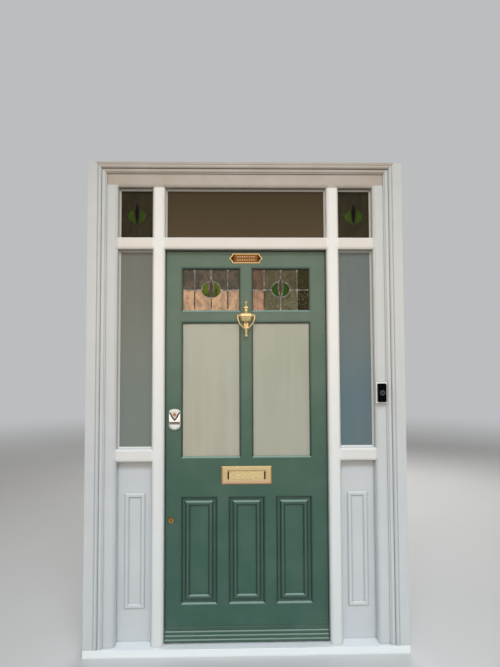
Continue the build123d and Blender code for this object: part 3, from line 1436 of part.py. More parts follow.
with BuildPart() as cylinder_pull:
    with BuildSketch(pull_plane):
        with BuildLine():
            Polyline(
                (-pull_half, -PULL_ARCH),
                (-pull_half, -PULL_HEIGHT),
                (pull_half, -PULL_HEIGHT),
                (pull_half, -PULL_ARCH),
            )
            ThreePointArc((pull_half, -PULL_ARCH), (0, 0), (-pull_half, -PULL_ARCH))
        make_face()
    extrude(amount=PULL_THICKNESS)
    fillet(edges().group_by(Axis.Y)[0], radius=PULL_EDGE_ROUND)
    with BuildSketch(pull_plane.offset(PULL_THICKNESS - PULL_SHIELD_SINK)):
        add(shield.sketch)
        add(shield_field, mode=Mode.SUBTRACT)
    extrude(amount=PULL_THICKNESS, mode=Mode.SUBTRACT)
    lip_plane = Plane((PULL_CENTRE, LEAF_FACE - PULL_THICKNESS / 2, PULL_TOP - PULL_HEIGHT))
    with BuildSketch(lip_plane):
        Ellipse(pull_half, PULL_LIP_DEPTH - PULL_THICKNESS / 2)
        with Locations((0, PULL_LIP_DEPTH)):
            Rectangle(2 * PULL_WIDTH, 2 * PULL_LIP_DEPTH, mode=Mode.SUBTRACT)
    extrude(amount=PULL_LIP_HEIGHT)
    with BuildSketch(lip_plane.offset(PULL_LIP_WALL)):
        Ellipse(pull_half - PULL_LIP_WALL, PULL_LIP_DEPTH - PULL_THICKNESS / 2 - PULL_LIP_WALL)
        with Locations((0, PULL_LIP_DEPTH - PULL_THICKNESS / 2)):
            Rectangle(2 * PULL_WIDTH, 2 * PULL_LIP_DEPTH, mode=Mode.SUBTRACT)
    extrude(amount=PULL_LIP_HEIGHT, mode=Mode.SUBTRACT)
    rod_y(PULL_CENTRE, CYLINDER_HEIGHT, CYLINDER_RADIUS, (LEAF_FACE - CYLINDER_PROUD, LEAF_BACK))
    rod_y(
        PULL_CENTRE,
        CYLINDER_HEIGHT,
        PLUG_RADIUS + PLUG_GAP,
        (LEAF_FACE - CYLINDER_PROUD - OVERCUT, LEAF_BACK + OVERCUT),
        mode=Mode.SUBTRACT,
    )

# Key plugs
def key_plug(x, z, face, back, tail):
    """Plug of a lock cylinder, with its keyway and the tail behind it"""
    with BuildPart() as plug:
        rod_y(x, z, PLUG_RADIUS, (face, back))
        slab(
            (x - KEYWAY_WIDTH / 2, x + KEYWAY_WIDTH / 2),
            (face - OVERCUT, face + KEYWAY_DEPTH),
            (z - KEYWAY_HEIGHT / 2, z + KEYWAY_HEIGHT / 2),
            mode=Mode.SUBTRACT,
        )
        if tail > 0:
            rod_y(x, z, TAIL_RADIUS, (back, back + tail))
    return plug.part


latch_key_plug = key_plug(
    PULL_CENTRE, CYLINDER_HEIGHT, LEAF_FACE - CYLINDER_PROUD - PLUG_PROUD, LEAF_BACK, TAIL_LENGTH
)
lower_key_plug = key_plug(
    ROSE_CENTRE, DEADLOCK_HEIGHT, LEAF_FACE - ROSE_THICKNESS - PLUG_PROUD, lock_case_front - LOCK_CASE_GAP, 0
)

with BuildPart() as cylinder_plug:
    add(latch_key_plug)

with BuildPart() as lower_plug:
    add(lower_key_plug)

with BuildPart() as lower_rose:
    rod_y(ROSE_CENTRE, DEADLOCK_HEIGHT, ROSE_RADIUS, (LEAF_FACE - ROSE_THICKNESS, LEAF_FACE))
    chamfer(faces().sort_by(Axis.Y)[0].edges(), length=ROSE_RIM)
    rod_y(
        ROSE_CENTRE,
        DEADLOCK_HEIGHT,
        PLUG_RADIUS + PLUG_GAP,
        (LEAF_FACE - ROSE_THICKNESS - OVERCUT, LEAF_FACE + OVERCUT),
        mode=Mode.SUBTRACT,
    )

# Mortice deadlock
bolt_depths = (LOCK_CENTRE_DEPTH - DEADBOLT_THICKNESS / 2, LOCK_CENTRE_DEPTH + DEADBOLT_THICKNESS / 2)
bolt_heights = (DEADLOCK_HEIGHT - DEADBOLT_HEIGHT / 2, DEADLOCK_HEIGHT + DEADBOLT_HEIGHT / 2)

with BuildPart() as mortice_lock:
    slab(
        lock_case_ends,
        (lock_case_front, lock_case_front + LOCK_CASE_THICKNESS),
        (DEADLOCK_HEIGHT - LOCK_CASE_HEIGHT / 2, DEADLOCK_HEIGHT + LOCK_CASE_HEIGHT / 2),
    )
    slab(
        (-LEAF_EDGE, -LEAF_EDGE + FOREND_THICKNESS),
        (LOCK_CENTRE_DEPTH - FOREND_WIDTH / 2, LOCK_CENTRE_DEPTH + FOREND_WIDTH / 2),
        (DEADLOCK_HEIGHT - FOREND_HEIGHT / 2, DEADLOCK_HEIGHT + FOREND_HEIGHT / 2),
    )
    slab(
        (-LEAF_EDGE - OVERCUT, -LEAF_EDGE + DEADBOLT_LENGTH + OVERCUT),
        (bolt_depths[0] - BOLT_SLIDE_GAP, bolt_depths[1] + BOLT_SLIDE_GAP),
        (bolt_heights[0] - BOLT_SLIDE_GAP, bolt_heights[1] + BOLT_SLIDE_GAP),
        mode=Mode.SUBTRACT,
    )

with BuildPart() as deadbolt:
    slab((-LEAF_EDGE, -LEAF_EDGE + DEADBOLT_LENGTH), bolt_depths, bolt_heights)

with BuildPart() as strike_plate:
    slab(
        (-mullion_rebate_face - STRIKE_THICKNESS, -mullion_rebate_face),
        (bolt_middle - STRIKE_WIDTH / 2, bolt_middle + STRIKE_WIDTH / 2),
        (strike_low, strike_high),
    )
    slab(
        (-mullion_rebate_face - STRIKE_THICKNESS - OVERCUT, -mullion_rebate_face + OVERCUT),
        (bolt_middle - pocket_half_depth, bolt_middle + pocket_half_depth),
        (DEADLOCK_HEIGHT - pocket_half_height, DEADLOCK_HEIGHT + pocket_half_height),
        mode=Mode.SUBTRACT,
    )

# Night latch: case on the leaf, bolt, knob and the keep on the frame
latch_left = -LEAF_EDGE + LATCH_EDGE_INSET
latch_line = LEAF_BACK + LATCH_BOLT_LINE
latch_face = LEAF_BACK + LATCH_CASE_DEPTH
latch_bolt_depths = (latch_line - LATCH_BOLT_DEPTH / 2, latch_line + LATCH_BOLT_DEPTH / 2)
latch_bolt_heights = (CYLINDER_HEIGHT - LATCH_BOLT_HEIGHT / 2, CYLINDER_HEIGHT + LATCH_BOLT_HEIGHT / 2)

with BuildPart() as latch_case:
    slab(
        (latch_left, latch_left + LATCH_CASE_WIDTH),
        (LEAF_BACK, latch_face),
        (CYLINDER_HEIGHT - LATCH_CASE_HEIGHT / 2, CYLINDER_HEIGHT + LATCH_CASE_HEIGHT / 2),
    )
    fillet(edges().group_by(Axis.Y)[-1], radius=LATCH_CASE_ROUND)
    slab(
        (latch_left - OVERCUT, latch_left + LATCH_BOLT_LENGTH + OVERCUT),
        (latch_bolt_depths[0] - BOLT_SLIDE_GAP, latch_bolt_depths[1] + BOLT_SLIDE_GAP),
        (latch_bolt_heights[0] - BOLT_SLIDE_GAP, latch_bolt_heights[1] + BOLT_SLIDE_GAP),
        mode=Mode.SUBTRACT,
    )
    rod_y(
        PULL_CENTRE,
        CYLINDER_HEIGHT,
        TAIL_RADIUS + BOLT_SLIDE_GAP,
        (LEAF_BACK - OVERCUT, LEAF_BACK + TAIL_LENGTH + OVERCUT),
        mode=Mode.SUBTRACT,
    )
    rod_y(
        PULL_CENTRE,
        CYLINDER_HEIGHT,
        KNOB_SPINDLE_RADIUS + KNOB_SPINDLE_GAP,
        (latch_face - KNOB_SPINDLE_LENGTH - BOLT_SLIDE_GAP, latch_face + OVERCUT),
        mode=Mode.SUBTRACT,
    )

with BuildPart() as latch_bolt:
    with BuildSketch(Plane.XY.offset(latch_bolt_heights[0])):
        with BuildLine():
            Polyline(
                (latch_left + LATCH_BOLT_BEVEL, latch_bolt_depths[1]),
                (latch_left, latch_bolt_depths[0] + LATCH_BOLT_NOSE),
                (latch_left, latch_bolt_depths[0]),
                (latch_left + LATCH_BOLT_LENGTH, latch_bolt_depths[0]),
                (latch_left + LATCH_BOLT_LENGTH, latch_bolt_depths[1]),
                close=True,
            )
        make_face()
    extrude(amount=LATCH_BOLT_HEIGHT)

with BuildPart() as latch_keep:
    keep_ends = (latch_left - KEEP_GAP - KEEP_WIDTH, latch_left - KEEP_GAP)
    slab(
        keep_ends,
        (LEAF_BACK, LEAF_BACK + KEEP_DEPTH),
        (CYLINDER_HEIGHT - KEEP_HEIGHT / 2, CYLINDER_HEIGHT + KEEP_HEIGHT / 2),
    )
    fillet(edges().group_by(Axis.Y)[-1], radius=KEEP_ROUND)
    slab(
        (keep_ends[0] + KEEP_WALL, keep_ends[1] + OVERCUT),
        (latch_bolt_depths[0] - KEEP_BOLT_GAP, latch_bolt_depths[1] + KEEP_BOLT_GAP),
        (latch_bolt_heights[0] - KEEP_WALL, latch_bolt_heights[1] + KEEP_WALL),
        mode=Mode.SUBTRACT,
    )

with BuildPart() as turn_knob:
    knob_face = latch_face + KNOB_STAND
    rod_y(PULL_CENTRE, CYLINDER_HEIGHT, KNOB_SPINDLE_RADIUS, (latch_face - KNOB_SPINDLE_LENGTH, latch_face))
    rod_y(PULL_CENTRE, CYLINDER_HEIGHT, KNOB_NECK_RADIUS, (latch_face, knob_face))
    rod_y(PULL_CENTRE, CYLINDER_HEIGHT, KNOB_RADIUS, (knob_face, knob_face + KNOB_PLATE))
    slab(
        (PULL_CENTRE - KNOB_GRIP_WIDTH / 2, PULL_CENTRE + KNOB_GRIP_WIDTH / 2),
        (knob_face + KNOB_PLATE, knob_face + KNOB_DEPTH),
        (CYLINDER_HEIGHT - KNOB_RADIUS + KNOB_GRIP_INSET, CYLINDER_HEIGHT + KNOB_RADIUS - KNOB_GRIP_INSET),
    )
    fillet(faces().sort_by(Axis.Y)[-1].edges(), radius=KNOB_ROUND)

# Doorbell on the right post
bell_face = -PACKER_THICKNESS - BELL_DEPTH

with BuildPart() as bell_packer:
    with BuildSketch(facade(0)):
        with Locations((BELL_CENTRE, BELL_CENTRE_HEIGHT)):
            RectangleRounded(PACKER_WIDTH, PACKER_HEIGHT, PACKER_CORNER)
    extrude(amount=PACKER_THICKNESS)

with BuildPart() as bell_case:
    with BuildSketch(facade(-PACKER_THICKNESS)):
        with Locations((BELL_CENTRE, BELL_CENTRE_HEIGHT)):
            RectangleRounded(BELL_WIDTH, BELL_HEIGHT, BELL_CORNER)
    extrude(amount=BELL_DEPTH)
    fillet(edges().group_by(Axis.Y)[0], radius=BELL_ROUND)
    rod_y(
        BELL_CENTRE,
        BELL_CENTRE_HEIGHT,
        BUTTON_RADIUS + BUTTON_GAP,
        (bell_face - OVERCUT, bell_face + BUTTON_DEPTH - BUTTON_PROUD + BUTTON_TRAVEL + BUTTON_GAP),
        mode=Mode.SUBTRACT,
    )
    with BuildSketch(facade(bell_face)):
        with Locations((BELL_CENTRE, BELL_CENTRE_HEIGHT + EYE_LIFT)):
            Circle(EYE_RADIUS)
    extrude(amount=EYE_PROUD, taper=EYE_TAPER)

with BuildPart() as bell_button:
    button_face = bell_face - BUTTON_PROUD
    rod_y(BELL_CENTRE, BELL_CENTRE_HEIGHT, BUTTON_RADIUS, (button_face, button_face + BUTTON_DEPTH))
    fillet(faces().sort_by(Axis.Y)[0].edges(), radius=BUTTON_ROUND)
    with BuildSketch(facade(button_face)):
        with Locations((BELL_CENTRE, BELL_CENTRE_HEIGHT)):
            Circle(BUTTON_DISH_RADIUS)
    extrude(amount=-BUTTON_DISH_DEPTH, mode=Mode.SUBTRACT)

# Each piece is written under the name of its own file
PIECES = {
    "sill": sill,
    "left_post": left_post,
    "right_post": right_post,
    "left_mullion": left_mullion,
    "right_mullion": right_mullion,
    "head": head,
    "door_transom": door_transom,
    "side_transoms": side_transoms,
    "side_rails": side_rails,
    "apron_panels": apron_panels,
    "apron_mouldings": apron_mouldings,
    "sidelight_panes": sidelight_panes,
    "fanlight_pane": fanlight_pane,
    "corner_light_glass": corner_light_glass,
    "corner_light_petals": corner_light_petals,
    "corner_light_buds": corner_light_buds,
    "corner_light_cames": corner_light_cames,
    "frame_glazing_beads": frame_glazing_beads,
    "side_architraves": side_architraves,
    "head_architrave": head_architrave,
    "bell_packer": bell_packer,
    "bell_case": bell_case,
    "bell_button": bell_button,
    "latch_keep": latch_keep,
    "strike_plate": strike_plate,
    "frame_hinge_flaps": frame_hinge_flaps,
    "hinge_pins": hinge_pins,
    "lock_stile": lock_stile,
    "hinge_stile": hinge_stile,
    "top_rail": top_rail,
    "glazing_rail": glazing_rail,
    "lock_rail": lock_rail,
    "bottom_rail": bottom_rail,
    "glazing_muntins": glazing_muntins,
    "panel_muntins": panel_muntins,
    "door_panels": door_panels,
    "panel_mouldings": panel_mouldings,
    "weatherboard": weatherboard,
    "lower_panes": lower_panes,
    "upper_light_glass": upper_light_glass,
    "upper_light_petals": upper_light_petals,
    "upper_light_buds": upper_light_buds,
    "upper_light_cames": upper_light_cames,
    "door_glazing_beads": door_glazing_beads,
    "door_hinge_flaps": door_hinge_flaps,
    "letter_plate": letter_plate,
    "letter_flap": letter_flap,
    "letter_plate_bolts": letter_plate_bolts,
    "knocker_body": knocker_body,
    "knocker_ring": knocker_ring,
    "plaque": plaque,
    "cylinder_pull": cylinder_pull,
    "cylinder_plug": cylinder_plug,
    "lower_rose": lower_rose,
    "lower_plug": lower_plug,
    "mortice_lock": mortice_lock,
    "deadbolt": deadbolt,
    "latch_case": latch_case,
    "latch_bolt": latch_bolt,
    "turn_knob": turn_knob,
}

os.makedirs("parts", exist_ok=True)
for name, piece in PIECES.items():
    piece.part.label = name
    export_step(piece.part, f"parts/{name}.step")
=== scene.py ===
from math import cos, hypot, pi, radians, sin, tau

import bmesh
import bpy
from bpy.props import FloatProperty, FloatVectorProperty, IntProperty, PointerProperty
from bpy.types import Operator, Panel, PropertyGroup
from mathutils import Matrix, Vector


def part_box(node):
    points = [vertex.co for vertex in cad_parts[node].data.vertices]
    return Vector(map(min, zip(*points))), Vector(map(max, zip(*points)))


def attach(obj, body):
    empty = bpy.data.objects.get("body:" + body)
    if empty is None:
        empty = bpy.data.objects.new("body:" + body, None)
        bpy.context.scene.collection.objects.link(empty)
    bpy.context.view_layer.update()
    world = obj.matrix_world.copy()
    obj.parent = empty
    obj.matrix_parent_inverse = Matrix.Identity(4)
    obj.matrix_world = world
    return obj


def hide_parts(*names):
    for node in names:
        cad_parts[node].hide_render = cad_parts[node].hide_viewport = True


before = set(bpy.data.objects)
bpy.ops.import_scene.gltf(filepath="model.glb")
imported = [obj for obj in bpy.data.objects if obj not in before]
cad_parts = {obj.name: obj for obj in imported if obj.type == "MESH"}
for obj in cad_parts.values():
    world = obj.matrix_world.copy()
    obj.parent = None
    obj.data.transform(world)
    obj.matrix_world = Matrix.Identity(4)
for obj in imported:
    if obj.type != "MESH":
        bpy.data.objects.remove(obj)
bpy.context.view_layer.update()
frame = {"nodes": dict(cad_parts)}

bl_info = {
    "name": "Front door dresser",
    "version": (1, 0, 0),
    "blender": (4, 5, 0),
    "location": "3D View > Sidebar > Front door",
    "description": "Paints, glazes and furnishes a panelled front door in its frame",
    "category": "Object",
}

MM = 0.001


# Shader and geometry trees


class Reading:
    """An output socket that ordinary maths can be written with."""

    def __init__(self, tree, socket):
        self.tree = tree
        self.socket = socket

    def maths(self, operation, first, second=0.0):
        return self.tree.add("ShaderNodeMath", 0, {"operation": operation}, {0: first, 1: second})

    def __add__(self, other):
        return self.maths("ADD", self, other)

    def __sub__(self, other):
        return self.maths("SUBTRACT", self, other)

    def __rsub__(self, other):
        return self.maths("SUBTRACT", other, self)

    def __mul__(self, other):
        return self.maths("MULTIPLY", self, other)

    def __truediv__(self, other):
        return self.maths("DIVIDE", self, other)

    def __pow__(self, other):
        return self.maths("POWER", self, other)

    def __gt__(self, other):
        return self.maths("GREATER_THAN", self, other)

    def __lt__(self, other):
        return self.maths("LESS_THAN", self, other)

    def __abs__(self):
        return self.maths("ABSOLUTE", self)

    def larger(self, other):
        return self.maths("MAXIMUM", self, other)

    def ramp(self, low, high):
        """0 below low, 1 above high and a smooth climb between them."""
        settings = {"interpolation_type": "SMOOTHSTEP"}
        return self.tree.add("ShaderNodeMapRange", 0, settings, {0: self, 1: low, 2: high})


class Tree:
    """A node tree under construction."""

    def __init__(self, nodes, links):
        self.nodes = nodes
        self.links = links

    def feed(self, socket, value):
        if isinstance(value, Reading):
            self.links.new(value.socket, socket)
        elif socket.type == "RGBA" and len(value) == 3:
            socket.default_value = (*value, 1.0)
        else:
            socket.default_value = value

    def add(self, kind, output, settings=None, inputs=None):
        """Adds a node, sets it up, feeds its sockets and returns the reading of one output."""
        node = self.nodes.new(kind)
        for name, value in (settings or {}).items():
            setattr(node, name, value)
        for socket, value in (inputs or {}).items():
            self.feed(node.inputs[socket], value)
        return Reading(self, node.outputs[output])

    def mix(self, mask, first, second):
        """The first colour where the mask is 0 and the second where it is 1."""
        return self.add("ShaderNodeMix", 2, {"data_type": "RGBA"}, {0: mask, 6: first, 7: second})


class Finish(Tree):
    """A material: one Principled shader and the pattern nodes that feed it."""

    def __init__(self, name):
        self.material = bpy.data.materials.new(name)
        self.material.use_nodes = True
        super().__init__(self.material.node_tree.nodes, self.material.node_tree.links)
        self.shader = next(node for node in self.nodes if node.type == "BSDF_PRINCIPLED")
        self.place = self.add("ShaderNodeTexCoord", "Object")

    def axis(self, name):
        return self.add("ShaderNodeSeparateXYZ", name, None, {0: self.place})

    def facing(self, name):
        """One part of the surface's own direction while the door is shut, such as Z for looking up."""
        normal = self.add("ShaderNodeTexCoord", "Normal")
        return self.add("ShaderNodeSeparateXYZ", name, None, {0: normal})

    def away(self, centre):
        """How far each point is from a level line through (x, z) that runs into the house."""
        across, rise = self.axis("X") - centre[0], self.axis("Z") - centre[1]
        return (across * across + rise * rise) ** 0.5

    def stretched(self, stretch):
        """The place scaled along X, Y and Z, by a number each or by one for all."""
        if isinstance(stretch, float):
            stretch = (stretch, stretch, stretch)
        return self.add("ShaderNodeVectorMath", 0, {"operation": "MULTIPLY"}, {0: self.place, 1: stretch})

    def noise(self, stretch, detail=2.0, roughness=0.5):
        """Smooth noise with a number of blobs per metre, one for all ways or one each for X, Y and Z."""
        inputs = {"Vector": self.stretched(stretch), "Scale": 1.0, "Detail": detail, "Roughness": roughness}
        return self.add("ShaderNodeTexNoise", "Fac", None, inputs)

    def cells(self, stretch):
        """How far each point is from the middle of its cell, for dimpled faces."""
        inputs = {"Vector": self.stretched(stretch), "Scale": 1.0}
        return self.add("ShaderNodeTexVoronoi", "Distance", {"feature": "SMOOTH_F1"}, inputs)

    def relief(self, height, depth, strength=1.0):
        """A bump of a real depth in metres."""
        inputs = {"Height": height, "Distance": depth, "Strength": strength}
        self.shade("Normal", self.add("ShaderNodeBump", "Normal", None, inputs))

    def shade(self, socket, value):
        self.feed(self.shader.inputs[socket], value)

    def done(self, **constants):
        """Sets the shader's plain numbers, given with _ for a space, and returns the material."""
        for name, value in constants.items():
            self.shade(name.replace("_", " "), value)
        return self.material


# Sizes and colours that a user would change


def colour_setting(name, description, default):
    return FloatVectorProperty(name=name, description=description, size=3, subtype="COLOR", default=default,
                               min=0.0, max=1.0)


def length_setting(name, description, default, low, high):
    return FloatProperty(name=name, description=description, subtype="DISTANCE", unit="LENGTH",
                         default=default, min=low, max=high)


def angle_setting(name, description, degrees):
    return FloatProperty(name=name, description=description, subtype="ANGLE", unit="ROTATION",
                         default=radians(degrees))


class DoorPaint(PropertyGroup):
    # The low and the high coats differ as painted light and shade from the ground up to the head
    leaf: colour_setting("Leaf, low", "Green of the leaf near the ground", (0.025, 0.093, 0.066))
    leaf_high: colour_setting("Leaf, high", "Green of the leaf near its top", (0.070, 0.124, 0.086))
    frame: colour_setting("Frame, low", "White of the frame near the ground", (0.690, 0.740, 0.770))
    frame_high: colour_setting("Frame, high", "White of the frame near its head", (0.760, 0.740, 0.700))
    # The outer frame's coats are darker as painted shade
    outer: colour_setting("Outer frame, low", "Older coat of posts and architraves", (0.572, 0.620, 0.660))
    outer_high: colour_setting("Outer frame, high", "The older coat near the head", (0.538, 0.545, 0.530))
    # The head's dark brown coat is painted shade
    head: colour_setting("Head", "The older coat on the head, gone brown", (0.400, 0.345, 0.285))
    # The sill's brighter, bluer white is painted light
    sill: colour_setting("Sill", "White of the sill", (0.84, 0.92, 0.97))
    # The transom shade darkens and warms the transoms' high coat as painted shade
    transom_shade: colour_setting("Transom shade", "How the transoms' coat has yellowed", (0.90, 0.86, 0.82))
    brush_depth: length_setting("Brush marks", "Depth of the brush marks", 0.00010, 0.0, 0.001)


class DoorMetal(PropertyGroup):
    brass: colour_setting("Brass", "Polished brass", (0.94, 0.74, 0.39))
    tarnish: colour_setting("Tarnish", "Brass gone brown", (0.52, 0.31, 0.13))
    screw_radius: length_setting("Screw head", "Radius of a countersunk screw's head", 0.0036, 0.001, 0.01)


class DoorStudio(PropertyGroup):
    eye: FloatVectorProperty(name="Eye", description="Place of the camera", size=3, subtype="TRANSLATION",
                             unit="LENGTH", default=(-0.0367, -2.687, 1.5815))
    turn: angle_setting("Turn", "Turn of the camera to the right", 1.22)
    tilt: angle_setting("Tilt", "Tilt of the camera upwards", 2.71)
    roll: angle_setting("Roll", "Roll of the camera about its sight line", -0.21)
    focal_pixels: FloatProperty(name="Focal length", description="Focal length in the photo's pixels",
                                subtype="PIXEL", default=490.0, min=50.0)
    photo_height: IntProperty(name="Photo height", description="Long side of the picture in pixels",
                              subtype="PIXEL", default=667, min=1)
    sensor: FloatProperty(name="Sensor", description="Long side of the sensor in millimetres",
                          subtype="DISTANCE_CAMERA", unit="CAMERA", default=36.0, min=1.0)


class DoorSettings(PropertyGroup):
    paint: PointerProperty(type=DoorPaint)
    metal: PointerProperty(type=DoorMetal)
    studio: PointerProperty(type=DoorStudio)


# Finishes


DUST = (0.42, 0.38, 0.33)
# Painted shade on soffits, the faces that look down
SOFFIT_SHADE = (0.07, 0.06, 0.05)
THIN_COAT = (0.85, 0.85, 0.85)
# The change from the low coat to the high one is painted light and shade, from the ground up to the head
COAT_HEIGHTS = (0.2, 2.0)       # metres; the low coat turns into the high one between them
DUST_HEIGHTS = (0.04, 0.30)     # metres; flats are dusty below the first and clean above the second
QUIRK_REACH = 13.0 * MM         # painted shade darkens a corner where another face is this near


def paint_finish(name, low, high, stretch, depth, roughness=0.34, thin=0.10, lit_colour=(0.90, 0.93, 0.96),
                 lit_weight=0.3, dust=0.3, grime_and_shade=0.0, shade_weight=0.16):
    """Gloss paint on planed timber, with brush marks and faint grain along the member and thin patches.

    The low colour is the coat near the ground and the high one is the coat under the head; the change between
    them is painted light and shade. The stretch is 1 for each way across the member and 0 along it. Slopes
    that look up are lighter as a painted highlight, slopes that look sideways or down and the quirks and
    corners are darker as painted shade, low flats are dusty and soffits may be darker as painted shade.
    """
    finish = Finish(name)
    marks = finish.noise(tuple(760.0 if across else 16.0 for across in stretch), 2.0)
    grain = finish.noise(tuple(150.0 if across else 2.6 for across in stretch), 3.0)
    patches = finish.noise(6.0, 4.0, 0.6)
    thinness = (patches * 0.7 + marks * 0.3).ramp(0.38, 0.68)
    up, sideways = finish.facing("Z"), abs(finish.facing("X"))
    dusty = up.ramp(0.55, 0.95) * (1 - finish.axis("Z").ramp(*DUST_HEIGHTS)) * dust
    # Painted shade: quirks and corners turn darker where another face is near
    open_air = finish.add("ShaderNodeAmbientOcclusion", "AO", {"samples": 6}, {"Distance": QUIRK_REACH})
    quirk = (1 - open_air).ramp(0.10, 0.62)
    # Painted shade: slopes that look sideways or down turn darker, full side faces less so
    moulded = 1 - sideways.ramp(0.90, 0.99) * 0.7
    shaded = sideways.larger(0 - up).ramp(0.06, 0.42) * moulded
    shade_colour = tuple(0.16 * part for part in low)
    coat = finish.mix(finish.axis("Z").ramp(*COAT_HEIGHTS), low, high)
    coat = finish.mix(thinness * thin, coat, THIN_COAT)
    coat = finish.mix(shaded * shade_weight, coat, shade_colour)
    # Painted highlight: slopes that look up turn lighter
    coat = finish.mix(up.ramp(0.15, 0.60) * lit_weight, coat, lit_colour)
    # Painted shade: soffits turn darker
    coat = finish.mix((0 - up).ramp(0.70, 0.95) * grime_and_shade, coat, SOFFIT_SHADE)
    coat = finish.mix(quirk * (0.25 + shade_weight * 0.6), coat, shade_colour)
    finish.shade("Base Color", finish.mix(dusty, coat, DUST))
    finish.shade("Roughness", patches * 0.12 + marks * 0.10 + (roughness - 0.11) + dusty)
    finish.relief(marks * 0.55 + grain * 0.45, depth)
    return finish.done(Coat_Weight=0.6, Coat_Roughness=0.22)


def brass_finish(name, colour, tarnish, brushed=None, browning=(0.52, 0.80), roughness=0.20, bevel_shade=0.0,
                 metallic=1.0, foot=None):
    """Brass: polished or brushed along one way, with browner patches, fine rubbing marks and bevels browned
    as painted shade and reflection where they look sideways or down.

    A foot, given as two heights and a colour, takes that colour below them as a painted reflection.
    """
    finish = Finish(name)
    stains = finish.noise(38.0, 4.0, 0.62)
    rubbing = finish.noise(brushed or 420.0, 3.0, 0.6)
    brown = stains.ramp(*browning) * 0.7
    # Painted shade and reflection: bevels that look sideways or down turn brown
    if bevel_shade:
        sideways = abs(finish.facing("X")).ramp(0.10, 0.40)
        downward = (0 - finish.facing("Z")).ramp(0.10, 0.40)
        brown = brown.larger(sideways.larger(downward * 0.7) * bevel_shade)
    # Painted reflection: the foot takes its own colour below its heights
    if foot:
        below, above, rubbed = foot
        colour = finish.mix(finish.axis("Z").ramp(below, above), rubbed, colour)
    finish.shade("Base Color", finish.mix(brown, colour, tarnish))
    finish.shade("Roughness", stains * 0.12 + rubbing * 0.06 + (roughness - 0.08))
    finish.relief(rubbing, 0.000005 if brushed else 0.00004)
    return finish.done(Metallic=metallic)


def plaque_finish(rim, stud, field, corner):
    """Cast brass with a browner sunk field that is darkest at its ends, and a rim and studs rubbed bright."""
    finish = Finish("plaque_brass")
    low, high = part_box("plaque")
    middle = (low.z + high.z) / 2
    rim_depth, field_depth = 42.3 * MM, 43.0 * MM
    studs_half, studs_rise = 60.0 * MM, 18.0 * MM
    grime_and_shade = finish.noise(240.0, 3.0, 0.6)
    sunk = finish.axis("Y").ramp(rim_depth, field_depth)
    ends = abs(finish.axis("X")).ramp(56.0 * MM, 76.0 * MM)
    ground = finish.mix((grime_and_shade * 0.8 + ends - 0.2).ramp(0.2, 1.0), field, corner)
    studs = (abs(finish.axis("X")) < studs_half) * (abs(finish.axis("Z") - middle) < studs_rise)
    raised = finish.mix(studs, rim, stud)
    finish.shade("Base Color", finish.mix(sunk, raised, ground))
    finish.shade("Roughness", grime_and_shade * 0.12 + sunk * 0.15 + 0.16)
    finish.relief(grime_and_shade, 0.00015)
    return finish.done(Metallic=1.0)


def steel_finish(name, colour, dull, roughness=0.28):
    """Plated or satin steel with a little dulling."""
    finish = Finish(name)
    stains = finish.noise(55.0, 4.0, 0.6)
    finish.shade("Base Color", finish.mix(stains.ramp(0.4, 0.75), colour, dull))
    finish.shade("Roughness", stains * 0.25 + (roughness - 0.12))
    finish.relief(finish.noise((500.0, 500.0, 60.0), 2.0), 0.00004)
    return finish.done(Metallic=1.0)


def nickel_finish(front, plate_top, band_top, centre, ring_radius):
    """Plated pull: pale, warmer on the ring, with painted shade dark in the shield's groove and grey in the
    scooped band.
    """
    finish = Finish("pull_nickel")
    cut_half, cut_below, band_height = 29.6 * MM, 13.0 * MM, 20.0 * MM
    polish = finish.noise(60.0, 3.0, 0.55)
    hairlines = finish.noise((900.0, 900.0, 40.0), 2.0)
    up = finish.axis("Z")
    inside = (abs(finish.axis("X") - centre[0]) < cut_half) * (up < plate_top - cut_below)
    cut = finish.axis("Y").ramp(front + 0.15 * MM, front + 0.60 * MM) * inside
    over_band = up > band_top
    groove = cut * over_band
    band = cut * (1 - over_band) * (up > band_top - band_height)
    ring = (finish.away(centre) < ring_radius) * (1 - cut)
    colour = finish.mix(polish.ramp(0.45, 0.75) * 0.5, (0.95, 0.93, 0.88), (0.86, 0.83, 0.79))
    colour = finish.mix(ring, colour, (0.80, 0.60, 0.44))
    # Painted shade: the scooped band grey and the shield's groove nearly black
    colour = finish.mix(band, colour, (0.20, 0.175, 0.16))
    finish.shade("Base Color", finish.mix(groove, colour, (0.045, 0.022, 0.028)))
    finish.shade("Roughness", polish * 0.10 + hairlines * 0.06 + 0.10)
    finish.relief(hairlines, 0.00003)
    return finish.done(Metallic=0.25, Coat_Weight=0.3, Coat_Roughness=0.06)


def lead_finish(name, dark, bloomed, right=0.0, top=0.0):
    """Lead came gone grey, with a dull white bloom, and a painted shade that darkens it left of and under a
    corner.
    """
    finish = Finish(name)
    bloom = finish.noise(70.0, 4.0, 0.65)
    lead = finish.mix(bloom.ramp(0.40, 0.70), dark, bloomed)
    # Painted shade: the lead darkens left of and under the corner
    if top:
        shaded_lead = (finish.axis("X") < right) * (finish.axis("Z") < top)
        lead = finish.mix(shaded_lead * 0.85, lead, tuple(0.3 * part for part in dark))
    finish.shade("Base Color", lead)
    finish.shade("Roughness", bloom * 0.3 + 0.35)
    finish.relief(finish.noise(900.0, 2.0), 0.00008)
    return finish.done(Metallic=0.6)


def plastic_finish(name, colour, shine, roughness, ior=1.49):
    """Moulded plastic with a fine spark texture."""
    finish = Finish(name)
    cloud = finish.noise(30.0, 3.0)
    finish.shade("Base Color", finish.mix(cloud, colour, shine))
    finish.shade("Roughness", cloud * 0.12 + (roughness - 0.06))
    finish.relief(finish.noise(2600.0, 1.0), 0.00002)
    return finish.done(IOR=ior)


